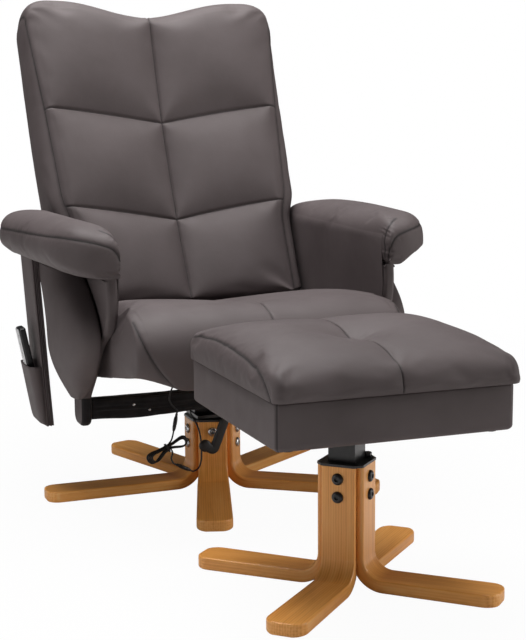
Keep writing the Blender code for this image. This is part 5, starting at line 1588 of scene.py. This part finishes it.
def sheet_x(skin, side, y, z):
    """How far from the middle the sheet lies at one place."""
    on_board = ARM_INNER - SHEET_PROUD
    pull_low, pull_high = SHEET_PULL
    level = max(z, pull_high)
    place = skin.ray_cast(CHAIR + Vector((0, y, level)), Vector((side, 0, 0)))[0]
    on_pad = abs(place.x) - SHEET_PROUD if place else on_board
    if z > pull_high:
        sink = smooth_step((z - SHEET_HEIGHTS[1] + SHEET_SINK) / SHEET_SINK)
        return on_pad + 2 * SHEET_PROUD * sink
    pulled = on_board + (on_pad - on_board) * smooth_step((z - pull_low) / (pull_high - pull_low))
    return pulled if z > ARM_TOP else min(on_board, pulled)


board_edges = [list(zip(*sorted((z, y) for y, z in edge))) for edge in (BOARD_FRONT, BOARD_REAR)]
for label, side in SIDES:
    skin = surface_of(pads[label].data, positions(pads[label].data))
    rings = []
    for r in range(SHEET_ROWS + 1):
        z = between(*SHEET_HEIGHTS, r / SHEET_ROWS)
        front = float(np.interp(z, *board_edges[0])) + SHEET_INSET
        rear = float(np.interp(z, *board_edges[1])) - SHEET_INSET
        row = []
        for c in range(SHEET_ACROSS + 1):
            y = front + (rear - front) * c / SHEET_ACROSS
            row.append((sheet_x(skin, side, y, z), y, z))
        behind = [(x + SHEET_THICK, y, z) for x, y, z in row[::-1]]
        rings.append(mirrored(row + behind, side))
    sheet = add_piece(f"arm_inner_sheet_{label}", *loft(rings), leather, "leather")
    sharpen(sheet, 50)
    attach(sheet, "seat_frame")
print("inner sheets from", SHEET_HEIGHTS[0], "to", SHEET_HEIGHTS[1], "m")

# %% [markdown]
# ### Side pocket
# On the left arm hangs a flap of several leather layers, with an open pouch sewn to it. The layers are
# thin slabs that follow each other with a little wave at their edge. The pouch is one bent sheet
# given a real thickness, so the remote can slide in behind it.

# %% Pocket flap
FLAP_TOP_X = 0.3715
FLAP_LEAN = math.radians(3.6)
FLAP_FRONT = 0.000
FLAP_WIDTH = 0.104
FLAP_BOTTOM = 0.152
FLAP_TUCK = 0.008              # how far it goes up into the pad
FLAP_LAYERS = ((0.0000, 0.0042, 0.000), (0.0044, 0.0030, 0.001), (0.0076, 0.0030, 0.000),
               (0.0108, 0.0042, 0.001))   # start, thickness and shortness
FLAP_ROWS = 40
FLAP_WAVE = 0.0009             # of a layer's front edge
FLAP_STEP = 0.0006             # from one layer's edge to the next
FLAP_CORNER = 0.012
FLAP_ROUND = ((0.0, 1.0), (0.15, 0.3), (0.5, 0.0), (0.85, 0.3), (1.0, 1.0))   # a layer's edge


def flap_x(z):
    """Outer face of the flap, on the left arm."""
    return -FLAP_TOP_X + (ARM_TOP - z) * math.tan(FLAP_LEAN)


def flap_layer(start, thick, short, number):
    """One leather layer of the flap as rings from its foot up."""
    top = ARM_TOP + FLAP_TUCK
    rings = []
    for r in range(FLAP_ROWS + 1):
        share = r / FLAP_ROWS
        z = FLAP_BOTTOM + short + (top - FLAP_BOTTOM - short) * share
        corner = max(0.0, 1 - (z - FLAP_BOTTOM - short) / FLAP_CORNER)
        drawn = FLAP_CORNER * round_off(corner)
        wave = FLAP_WAVE * math.sin(9 * share + 1.7 * number) * (1 - share)
        front = FLAP_FRONT + FLAP_STEP * number + wave
        rear = FLAP_FRONT + FLAP_WIDTH - drawn - FLAP_STEP * number
        x = flap_x(z) + start
        edge = thick * 0.45
        between = [front + edge + (rear - front - 2 * edge) * i / 8 for i in range(1, 8)]
        ring = [(x + thick * deep, front + edge * back, z) for deep, back in FLAP_ROUND]
        ring += [(x + thick, y, z) for y in between]
        ring += [(x + thick * deep, rear - edge * back, z) for deep, back in FLAP_ROUND[::-1]]
        ring += [(x, y, z) for y in between[::-1]]
        rings.append(on_chair(ring))
    return loft(rings)


flap = add_piece("pocket_flap", *together([flap_layer(*layer, n) for n, layer in enumerate(FLAP_LAYERS)]),
                 leather, "leather")
sharpen(flap, 60)
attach(flap, "seat_frame")
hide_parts("side_pocket")
print("flap of", len(FLAP_LAYERS), "layers")

# %% Pocket pouch
POUCH_MOUTH = 0.274
POUCH_DEPTHS = (0.010, 0.025)
POUCH_LEATHER = 0.0022
POUCH_WALL = 0.0025            # room that the leather takes
POUCH_UP = 0.001               # of its foot over the flap's
POUCH_SQUARE = (7, 1 / 2.2)    # of its section
POUCH_FOOT = (0.05, 0.08)      # share of the height in which it rounds out, and depth at the very foot
POUCH_CORNER = (0.16, 0.018)   # share of the height, and width, of the rear corner
POUCH_TAPER = 0.0012
POUCH_SAG = 0.0006
POUCH_ROWS = 30
POUCH_ACROSS = 40


def pouch_point(across, up):
    """Outer face of the pouch: across 0 to 1 from front to rear, up 0 to 1 from foot to mouth."""
    z = between(FLAP_BOTTOM + POUCH_UP, POUCH_MOUTH, up)
    deep = between(*POUCH_DEPTHS, up)
    side = abs(2 * across - 1)
    full = (1 - side ** POUCH_SQUARE[0]) ** POUCH_SQUARE[1]
    foot = min(1.0, up / POUCH_FOOT[0])
    full *= 1 - (1 - POUCH_FOOT[1]) * round_off(1 - foot)
    inset = POUCH_TAPER * (1 - up)
    corner = max(0.0, 1 - up / POUCH_CORNER[0])
    y = FLAP_FRONT + inset + (FLAP_WIDTH - 2 * inset) * across
    y -= POUCH_CORNER[1] * round_off(corner) * across
    sag = POUCH_SAG * math.sin(math.pi * across) * math.sin(5.0 * up)
    return flap_x(z) - deep * full - sag, y, z


pouch_points = []
for r in range(POUCH_ROWS + 1):
    for c in range(POUCH_ACROSS + 1):
        pouch_points.append(CHAIR + Vector(pouch_point(c / POUCH_ACROSS, r / POUCH_ROWS)))
pouch = add_piece("pocket_pouch", pouch_points, rows_of_quads(POUCH_ROWS + 1, POUCH_ACROSS + 1, False),
                  leather, "leather")
outside = sum(face.normal.x for face in pouch.data.polygons)
if outside > 0:
    pouch.data.flip_normals()
wall = pouch.modifiers.new("leather", "SOLIDIFY")
wall.thickness = POUCH_LEATHER
wall.offset = -1.0
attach(pouch, "seat_frame")
print("pouch", POUCH_ROWS * POUCH_ACROSS, "quads")

# %% [markdown]
# ### Remote control
# The remote stands in the pouch with its face outwards. Its case is the black moulding of the model.
# A pale face plate is laid on it, and from the side it is the thin bright line beside the black edge.

# %% Remote's face plate
REMOTE_LENGTH = 0.128
REMOTE_WIDTH = 0.036
REMOTE_THICK = 0.014
REMOTE_LEAN = math.radians(11)
REMOTE_REST = 0.2235           # where it stands in the pouch
REMOTE_FOOT = REMOTE_REST + 0.0007
PLATE_THICK = 0.0009
PLATE_MARGIN = 0.0022
PLATE_CORNER = 0.004
remote_low, remote_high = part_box("remote_body")
remote_up = Vector((-math.sin(REMOTE_LEAN), 0.0, math.cos(REMOTE_LEAN)))
remote_out = Vector((-math.cos(REMOTE_LEAN), 0.0, -math.sin(REMOTE_LEAN)))
slope = (POUCH_DEPTHS[1] - POUCH_DEPTHS[0]) / (POUCH_MOUTH - FLAP_BOTTOM)
pouch_room = POUCH_DEPTHS[0] + slope * (REMOTE_REST - FLAP_BOTTOM) - POUCH_WALL
remote_x = flap_x(REMOTE_REST) - pouch_room / 2
remote_start = CHAIR + Vector((remote_x, FLAP_FRONT + FLAP_WIDTH / 2, REMOTE_FOOT))


def plate_outline(margin, out):
    """Rounded outline on the remote's face, drawn in by a margin and out of the case."""
    middle = remote_start + remote_up * REMOTE_LENGTH / 2 + remote_out * out
    line = rounded(REMOTE_WIDTH / 2 - margin, REMOTE_LENGTH / 2 - margin, PLATE_CORNER, 5)
    return [middle + Vector((0, across, 0)) + remote_up * up for across, up in line]


face_out = REMOTE_THICK / 2
plate_steps = ((0.0, 0.00005), (0.0, PLATE_THICK * 0.6), (0.0005, PLATE_THICK))
plate_rings = [plate_outline(PLATE_MARGIN + more, face_out + out) for more, out in plate_steps]
plate = add_piece("remote_face_plate", *loft(plate_rings), silver_plastic, "silver_plastic")
sharpen(plate, 40)
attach(plate, "remote")
print("remote between", [round(x, 3) for x in remote_low], "and", [round(x, 3) for x in remote_high])

# %% [markdown]
# ### Footstool box
# The box is board wrapped in leather: crisp, but with rounded arrises, a seam at each upright corner
# and faces that are very slightly full. Rings that go up the outside, over the rim and down
# the inside make wall and lining in one piece.

# %% Footstool box
BOX_WALL = 0.016
BOX_CORNER = 0.009
BOX_ARRISES = (0.008, 0.004)   # rounding of the lower edge and of the rim
BOX_FULL = 0.0022
CORNER_STEPS = 6
CORNER_PRESS = 0.0014          # depth of the corner seams
SIDE_STEPS = 24


def box_ring(drawn, z, full):
    """Rounded outline of the box at one height, drawn in, with its faces a little full."""
    ring = []
    x = BOX_X / 2 - drawn
    y = BOX_Y / 2 - drawn
    corner = max(0.002, BOX_CORNER - drawn * 0.4)
    for turn, (sx, sy) in enumerate(QUARTERS):
        centre = (sx * (x - corner), sy * (y - corner))
        ring += arc(centre, corner, 90 * turn, 90 * turn + 90, CORNER_STEPS)[:-1]
        nx, ny = QUARTERS[(turn + 1) % 4]
        across = turn % 2 == 0
        start = (centre[0], sy * y) if across else (sx * x, centre[1])
        end = (nx * (x - corner), ny * y) if across else (nx * x, ny * (y - corner))
        for i in range(SIDE_STEPS):
            t = i / SIDE_STEPS
            spot = [start[0] + (end[0] - start[0]) * t, start[1] + (end[1] - start[1]) * t]
            spot[across] += math.copysign(full * (1 - (2 * t - 1) ** 4), spot[across])
            ring.append(spot)
    return [(px, py, z) for px, py in ring]


foot, rim = BOX_ARRISES
profile = [(BOX_WALL, BOX_BOTTOM, 0.0), (0.010, BOX_BOTTOM, 0.0)]
for i, (drawn, z) in enumerate(arc((foot, BOX_BOTTOM + foot), foot, 270, 180, 4)):
    profile.append((drawn, z, BOX_FULL * i / 4))
for i in range(1, 9):
    share = i / 9
    z = BOX_BOTTOM + foot + (BOX_TOP - BOX_BOTTOM - foot - rim) * share
    profile.append((0.0, z, BOX_FULL * (1 - 0.5 * share)))
profile += [(drawn, z, 0.0) for drawn, z in arc((rim, BOX_TOP - rim), rim, 180, 90, 4)]
profile += [(BOX_WALL - 0.002, BOX_TOP, 0.0), (BOX_WALL, BOX_TOP - 0.002, 0.0),
            (BOX_WALL, BOX_BOTTOM + 0.004, 0.0)]
rings = [on_stool(box_ring(*step)) for step in profile]
box_count = len(rings[0])
box = add_piece("footstool_box_cover", *hollow(rings), leather, "leather")
box.data.materials.append(black_fabric)
lining = (BOX_X / 2 - BOX_WALL + 0.001, BOX_Y / 2 - BOX_WALL + 0.001)
for face in box.data.polygons:
    if abs(face.center.x - STOOL.x) < lining[0] and abs(face.center.y - STOOL.y) < lining[1]:
        face.material_index = 1
# The seam value paints shade into the fold of each upright corner seam.
shade = [0.0] * len(box.data.vertices)
corner_places = [k * (CORNER_STEPS + SIDE_STEPS) + CORNER_STEPS // 2 for k in range(4)]
for row in range(2, len(rings) - 3):
    for at in (row * box_count + place for place in corner_places):
        shade[at] = 1.0
        if 4 <= row < len(rings) - 6:
            co = box.data.vertices[at].co
            co += (Vector((STOOL.x, STOOL.y, co.z)) - co).normalized() * CORNER_PRESS
box.data.attributes.new("seam", "FLOAT", "POINT").data.foreach_set("value", shade)
crisp(box, 60)
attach(box, "base")
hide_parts("footstool_box")
print("box", len(box.data.polygons), "faces")

# %% [markdown]
# ## Bent legs
# A leg is a flat blank that stands against the hub, bends at its heel and lies along the floor. It
# is made of cross outlines along that path, each with rounded long edges, cut back by a mitre where
# it stands beside its neighbours. While the points are made, their place in the flat blank is
# noted for the oak.

# %% Legs
LEG_WIDTHS = (0.060, 0.066, 0.070)     # at the top, after the bend, at the foot's end
LEG_THICK = 0.022
LEG_NOTCH = 0.0115
LEG_SEAM = 0.0012
LEG_BEND = 0.034
LEG_TOE = 0.026
LEG_ARRIS = 0.0040
GRAIN_SHIFT = 1.37             # through the wood from one leg to the next
BASES = {                      # number of legs, where the first points, height, reach, place
    "chair": (5, math.radians(-18), 0.142, 0.358, CHAIR),
    "footstool": (4, math.radians(-45), 0.212, 0.274, STOOL),
}


def leg_outer(legs):
    """Outer face of a leg's upright part, from the axis."""
    return LEG_WIDTHS[0] / 2 / math.tan(math.pi / legs) + LEG_NOTCH


def leg_path(legs, top, reach):
    """Stations along a leg: x, z and lean of its inner face, half width, and the way along the blank."""
    inner = leg_outer(legs) - LEG_THICK
    bend_x = inner + LEG_THICK + LEG_BEND
    bend_z = LEG_THICK + LEG_BEND
    radius = LEG_BEND + LEG_THICK
    stations = []
    for i in range(10):
        z = top + (bend_z - top) * i / 10
        stations.append((inner, z, 0.0, LEG_WIDTHS[0] / 2, top - z))
    start = top - bend_z
    for i in range(17):
        angle = math.pi / 2 * i / 16
        wide = between(*LEG_WIDTHS[:2], i / 16)
        x = bend_x - radius * math.cos(angle)
        z = bend_z - radius * math.sin(angle)
        stations.append((x, z, angle, wide / 2, start + radius * angle))
    start += radius * math.pi / 2
    flat = reach - LEG_TOE - bend_x
    for i in range(1, 8):
        wide = between(*LEG_WIDTHS[1:], i / 7)
        stations.append((bend_x + flat * i / 7, 0.0, math.pi / 2, wide / 2, start + flat * i / 7))
    for i in range(1, 11):
        angle = math.pi / 2 * i / 10
        on = LEG_TOE * math.sin(angle)
        half = LEG_WIDTHS[2] / 2 - LEG_TOE * (1 - math.cos(angle))
        stations.append((reach - LEG_TOE + on, 0.0, math.pi / 2, half, start + flat + on))
    return stations


def leg_section(half, thin):
    """Cross outline of the blank as (across, through), with rounded long edges."""
    r = LEG_ARRIS
    low = thin
    high = LEG_THICK - thin
    line = [(-half / 2, low), (0.0, low), (half / 2, low)]
    line += arc((half - r, low + r), r, -90, 0, 4)
    line += [(half, low + (high - low) * k / 4) for k in (1, 2, 3)]
    line += arc((half - r, high - r), r, 0, 90, 4)
    return line + [(-across, LEG_THICK - through) for across, through in line]


def leg_parts(legs, top, reach):
    """Points, faces and blank places of one leg that points along +X."""
    spread_out = math.tan(math.pi / legs)
    seam = LEG_SEAM / 2 / math.sin(math.pi / legs)
    rings = []
    blanks = []
    for x, z, lean, half, along in leg_path(legs, top, reach):
        past = max(0.0, (x - (reach - LEG_ARRIS)) / LEG_ARRIS) if lean > 1.5 else 0.0
        thin = LEG_ARRIS * 0.8 * round_off(min(1.0, past))
        ring = []
        for across, through in leg_section(half, thin):
            px = x + math.cos(lean) * through
            pz = z + math.sin(lean) * through
            limit = max(0.002, (px - seam) * spread_out)
            py = max(-limit, min(limit, across))
            ring.append((px, py, pz))
            blanks.append((along, across, through))
        rings.append(ring)
    points, faces = loft(rings)
    return points, faces, blanks


def leg_angles(legs, first):
    return [first - math.pi / 2 + angle for angle in around(legs)]


for base_name, (legs, first_angle, top, reach, home) in BASES.items():
    points, faces, blanks = leg_parts(legs, top, reach)
    for number, angle in enumerate(leg_angles(legs, first_angle), 1):
        spin = Matrix.Translation(home) @ Matrix.Rotation(angle, 4, "Z")
        placed = [spin @ Vector(point) for point in points]
        leg = add_piece(f"{base_name}_bent_leg_{number}", placed, faces, oak, "oak")
        crisp(leg, 60)
        value = leg.data.attributes.new("grain", "FLOAT_VECTOR", "POINT")
        shift = GRAIN_SHIFT * number + (0.6 if base_name == "chair" else 0.0)
        moved = np.array(blanks) + (shift, 0.3 * shift, 0.0)
        value.data.foreach_set("vector", moved.ravel())
        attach(leg, "base")
        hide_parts(f"{base_name}_leg_{number}")
    print(base_name, "has", legs, "legs of", len(points), "points")

# %% [markdown]
# ## Bolts
# Two bolts hold each leg to the core inside the hub: bright on the chair, black on the footstool.
# A head is a low dome with a six-sided socket. All rings have the same number of points, and those of
# the socket are pulled onto a hexagon, so dome and socket are one unbroken skin.

# %% Bolts
BOLT_RADIUS = 0.004
HEAD_RADIUS = 0.010
HEAD_HEIGHT = 0.005
SOCKET = 0.0042
BOLT_DROP = 0.0205
BOLT_PITCH = 0.031
HUB_WALL = 0.004
CORE_WALL = 0.005
CORE_MARGIN = 0.012
HEAD_POINTS = 36
HEAD_DOME = ((0.0, 1.0), (0.0014, 1.0), (0.0030, 0.93), (0.0043, 0.78), (HEAD_HEIGHT, 0.58))
SOCKET_STEPS = ((HEAD_HEIGHT, 1.06), (HEAD_HEIGHT - 0.0004, 1.0), (0.0016, 1.0), (0.0012, 0.5))


def bolt(legs, z):
    """One bolt along +X, from the core to its head."""
    head = leg_outer(legs) + GAP
    inside = leg_outer(legs) - LEG_THICK - HUB_WALL - CORE_WALL / 2
    steps = [(inside, BOLT_RADIUS, False), (head, BOLT_RADIUS, False)]
    steps += [(head + up, HEAD_RADIUS * wide, False) for up, wide in HEAD_DOME]
    steps += [(head + up, SOCKET * wide, True) for up, wide in SOCKET_STEPS]
    rings = []
    for x, radius, six in steps:
        ring = []
        for angle in around(HEAD_POINTS):
            r = radius
            if six:
                r = radius * math.cos(math.pi / 6) / math.cos(angle % (math.pi / 3) - math.pi / 6)
            ring.append((x, r * math.cos(angle), z + r * math.sin(angle)))
        rings.append(ring)
    return loft(rings)


def core_tube(legs, low, high):
    """The tapped tube inside the hub that the bolts screw into."""
    outer = leg_outer(legs) - LEG_THICK - 2 * GAP - HUB_WALL
    rings = []
    for radius, z in ((outer, low), (outer, high), (outer - CORE_WALL, high), (outer - CORE_WALL, low)):
        ring = []
        for angle in around(legs, 0.5):
            r = radius / math.cos(math.pi / legs)
            ring.append((r * math.cos(angle), r * math.sin(angle), z))
        rings.append(ring)
    return hollow(rings)


for base_name, (legs, first_angle, top, reach, home) in BASES.items():
    heights = (top - BOLT_DROP - BOLT_PITCH, top - BOLT_DROP)
    angles = leg_angles(legs, first_angle)
    turned = [(angles[0], core_tube(legs, heights[0] - CORE_MARGIN, heights[1] + CORE_MARGIN))]
    turned += [(angle, bolt(legs, z)) for angle in angles for z in heights]
    parts = []
    for angle, (points, faces) in turned:
        spin = Matrix.Rotation(angle, 4, "Z")
        parts.append(([spin @ Vector(p) for p in points], faces))
    points, faces = together(parts)
    metal, slot = (bright_steel, "bright_steel") if base_name == "chair" else (black_steel, "black_steel")
    bolts = add_piece(f"{base_name}_bolts", [home + Vector(p) for p in points], faces, metal, slot)
    sharpen(bolts, 40)
    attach(bolts, "base")
    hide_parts(f"{base_name}_bolt_core")
    print(base_name, legs * 2, "bolts")

# %% [markdown]
# ## Cross bar in its cloth sleeve
# Under the seat a square bar joins the two arms. It wears a loose black sleeve whose folds run along it.
# The sleeve is a rounded square drawn along the bar, pressed in by noise that is stretched
# along its length. Pressing in only, never out, keeps it clear of what is beside it.

# %% Cross bar
BAR_END = ARM_INNER - GAP
BAR_Y = -0.035
BAR_DEPTH = 0.030
BAR_HEIGHT = 0.043
BAR_STATIONS = 110
BAR_ROUND = 56
BAR_FOLD = 0.0058
BAR_SAG = 0.0055
BAR_SAG_ENDS = (-0.268, -0.030)
BAR_EDGE = 0.005


def bar_ring(x):
    """Outline of the sleeve at one place along the bar, with its folds and its sag."""
    ring = []
    outline = rounded(BAR_DEPTH / 2, BAR_HEIGHT / 2, BAR_EDGE, 4)
    closed = even([*outline, outline[0]], BAR_ROUND + 1)[:-1]
    along = (x - BAR_SAG_ENDS[0]) / (BAR_SAG_ENDS[1] - BAR_SAG_ENDS[0])
    sag = BAR_SAG * math.sin(math.pi * along) ** 2 if 0 < along < 1 else 0.0
    for i, point in enumerate(closed):
        long_fold = noise.noise((x * 5.0, i * 0.55, 1.7)) + 0.5 * noise.noise((x * 13.0, i * 1.1, 4.2))
        loose = BAR_FOLD * max(0.0, 0.32 + 0.75 * long_fold)
        inward = -point.normalized() * loose * min(1.0, (BAR_END - abs(x)) / 0.02 + 0.2)
        height = BAR_BOTTOM + BAR_HEIGHT / 2 + point.y + inward.y
        ring.append((x, BAR_Y + point.x + inward.x, height - sag * (0.6 - point.y / BAR_HEIGHT)))
    return ring


bar_places = [-BAR_END + 2 * BAR_END * i / BAR_STATIONS for i in range(BAR_STATIONS + 1)]
bar_rings = [on_chair(bar_ring(x)) for x in bar_places]
bar = add_piece("cross_bar_sleeve", *loft(bar_rings), black_fabric, "black_fabric")
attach(bar, "seat_frame")
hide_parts("cross_bar")
print("sleeve", len(bar.data.polygons), "faces")

# %% Screws of the bar and the footstool's plate
SCREWS = ((-0.183, 0.193), (0.183, 0.193), (-0.150, 0.180))
SCREW_RADIUS = 0.0032
SCREW_SUNK = 0.004             # of its root, behind the bar's front
SCREW_LENGTH = 0.0048
SCREW_PROFILE = ((0, 1), (0.6, 1), (0.9, 0.8), (1, 0.4))
PLATE_BOLT_PLACE = (0.040, 0.004)
PLATE_BOLT_SIZE = 0.0075       # its height, and its radius at the corners
PLATE_BOLT_PROFILE = ((0, 1.25), (0.18, 1.25), (0.19, 1.0), (0.85, 1.0), (1, 0.86))
screw_parts = []
for x, z in SCREWS:
    start = CHAIR + Vector((x, BAR_Y - BAR_DEPTH / 2 + SCREW_SUNK, z))
    end = start - Vector((0.0, SCREW_LENGTH, 0.0))
    screw_parts.append(loft(rod_rings(start, end, SCREW_PROFILE, SCREW_RADIUS, 16)))
screws = add_piece("cross_bar_screws", *together(screw_parts), bright_steel, "bright_steel")
sharpen(screws, 50)
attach(screws, "seat_frame")
plate_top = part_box("footstool_hub_plate")[1].z
start = STOOL + Vector((*PLATE_BOLT_PLACE, plate_top + 0.0002))
tip = start + Vector((0.0, 0.0, PLATE_BOLT_SIZE))
plate_rings = rod_rings(start, tip, PLATE_BOLT_PROFILE, PLATE_BOLT_SIZE, 6)
plate_bolt = add_piece("footstool_plate_bolt", *loft(plate_rings), black_steel, "black_steel")
sharpen(plate_bolt, 20)
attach(plate_bolt, "base")
print(len(SCREWS), "screws and a plate bolt")

# %% [markdown]
# ## Recline lever
# The lever is a flat moulded arm, bent at its elbow, that ends in a round grip. One rounded section is
# drawn along its bent line, and the grip and the shaft are turned pieces that run into it.

# %% Lever
LEVER_TOP = (-0.010, 0.1635)
LEVER_ELBOW = (-0.036, 0.098)
LEVER_KNOB = (-0.054, 0.110)
LEVER_FRONT = -0.119
LEVER_THICK = 0.011
LEVER_WIDTH = 0.019
LEVER_KNOB_RADIUS = 0.0125
LEVER_SHAFT = 0.004
LEVER_SHAFT_END = -0.0107
LEVER_BEND = (0.014, 0.010)    # how far from the elbow its bend starts and ends
LEVER_CUT = 0.35               # how much the bend cuts the elbow's corner
LEVER_TIP = 0.35               # share of the width at the upper end
LEVER_SECTION = 24
LEVER_STATIONS = 44
LEVER_ROUND = 0.6


def lever_rings():
    """Rounded sections along the lever's bent line."""
    top = Vector(LEVER_TOP)
    elbow = Vector(LEVER_ELBOW)
    knob = Vector(LEVER_KNOB)
    near = elbow + (top - elbow).normalized() * LEVER_BEND[0]
    past = elbow + (knob - elbow).normalized() * LEVER_BEND[1]
    turn = elbow.lerp((near + past) / 2, LEVER_CUT)
    line = even(smooth_route([top, top.lerp(near, 0.5), near, turn, past, knob], 0.002), LEVER_STATIONS)
    rings = []
    for i, point in enumerate(line):
        way = (line[min(i + 1, LEVER_STATIONS - 1)] - line[max(i - 1, 0)]).normalized()
        aside = Vector((-way.y, way.x))
        end = min(1.0, i / 5)
        wide = LEVER_WIDTH / 2 * (1 - (1 - LEVER_TIP) * round_off(1 - end))
        ring = []
        for angle in around(LEVER_SECTION):
            b = bent(math.sin(angle), LEVER_ROUND) * LEVER_THICK / 2
            spot = point + aside * bent(math.cos(angle), LEVER_ROUND) * wide
            ring.append((spot.x, LEVER_FRONT + LEVER_THICK / 2 + b, spot.y))
        rings.append(on_chair(ring))
    return rings


knob_start = CHAIR + Vector((LEVER_KNOB[0], LEVER_FRONT - GAP, LEVER_KNOB[1]))
knob_end = knob_start + Vector((0.0, LEVER_THICK, 0.0))
half_profile = ((0, 0.55), (0.06, 0.80), (0.16, 0.94), (0.30, 1.0))
knob_profile = [*half_profile, *((1 - along, wide) for along, wide in half_profile[::-1])]
shaft_start = CHAIR + Vector((LEVER_TOP[0], LEVER_FRONT + LEVER_THICK / 2, LEVER_TOP[1]))
shaft_end = CHAIR + Vector((LEVER_TOP[0], LEVER_SHAFT_END, LEVER_TOP[1]))
lever_parts = [lever_rings(), rod_rings(knob_start, knob_end, knob_profile, LEVER_KNOB_RADIUS, 32),
               rod_rings(shaft_start, shaft_end, ((0, 1), (1, 1)), LEVER_SHAFT, 16)]
lever = add_piece("recline_lever_grip", *together([loft(rings) for rings in lever_parts]),
                  black_plastic, "black_plastic")
sharpen(lever, 50)
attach(lever, "lever")
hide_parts("recline_lever")
print("lever", len(lever.data.polygons), "faces")

# %% [markdown]
# ## The rest of the model
# What is left is real hardware with the right shape already: hubs, plates, post, hinges, boards and
# buttons. These keep their meshes. They get the finishes made above, and a small bevel as a
# modifier, because no real edge is perfectly sharp.

# %% Finish the hardware
HARDWARE = (                   # finish, bevel and nodes
    (black_steel, 0.0008, """chair_hub chair_hub_plate footstool_hub footstool_hub_plate footstool_post
     footstool_box_plate lid_hinge_box_leaf lid_hinge_lid_leaf frame_plate recline_mechanism seat_hinge_1
     seat_hinge_2 back_hinge_1 back_hinge_2"""),
    (bright_steel, 0.0004, "swivel_spindle recline_shaft lid_hinge_pin"),
    (black_plastic, 0.0012, """swivel_bush massage_control_box remote_body vibration_motor_1
     vibration_motor_2 cord_tie"""),
    (black_fabric, 0.0010, "footstool_box_floor lid_board"),
    (silver_plastic, 0.0006, "remote_button_power remote_button_mode remote_button_heat"),
    (plywood, 0.0012, "seat_board"),
)
THIN = ("lid_hinge_box_leaf", "lid_hinge_lid_leaf", "lid_hinge_pin", "cord_tie")
THIN_SHARE = 0.25
finished = 0
for finish, width, names in HARDWARE:
    for name in names.split():
        node = frame["nodes"][name]
        node.data.materials.clear()
        node.data.materials.append(finish)
        edges = node.modifiers.new("edges", "BEVEL")
        edges.width = width * THIN_SHARE if name in THIN else width
        edges.segments = 2
        edges.limit_method = "ANGLE"
        edges.angle_limit = math.radians(35)
        edges.harden_normals = True
        finished += 1
print(finished, "nodes of the model finished")

# %% [markdown]
# ## Measuring
# The dressed chair has to stay the size of the model. Here the box round the dressed
# pieces is measured.

# %% Sizes and the end
low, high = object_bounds()
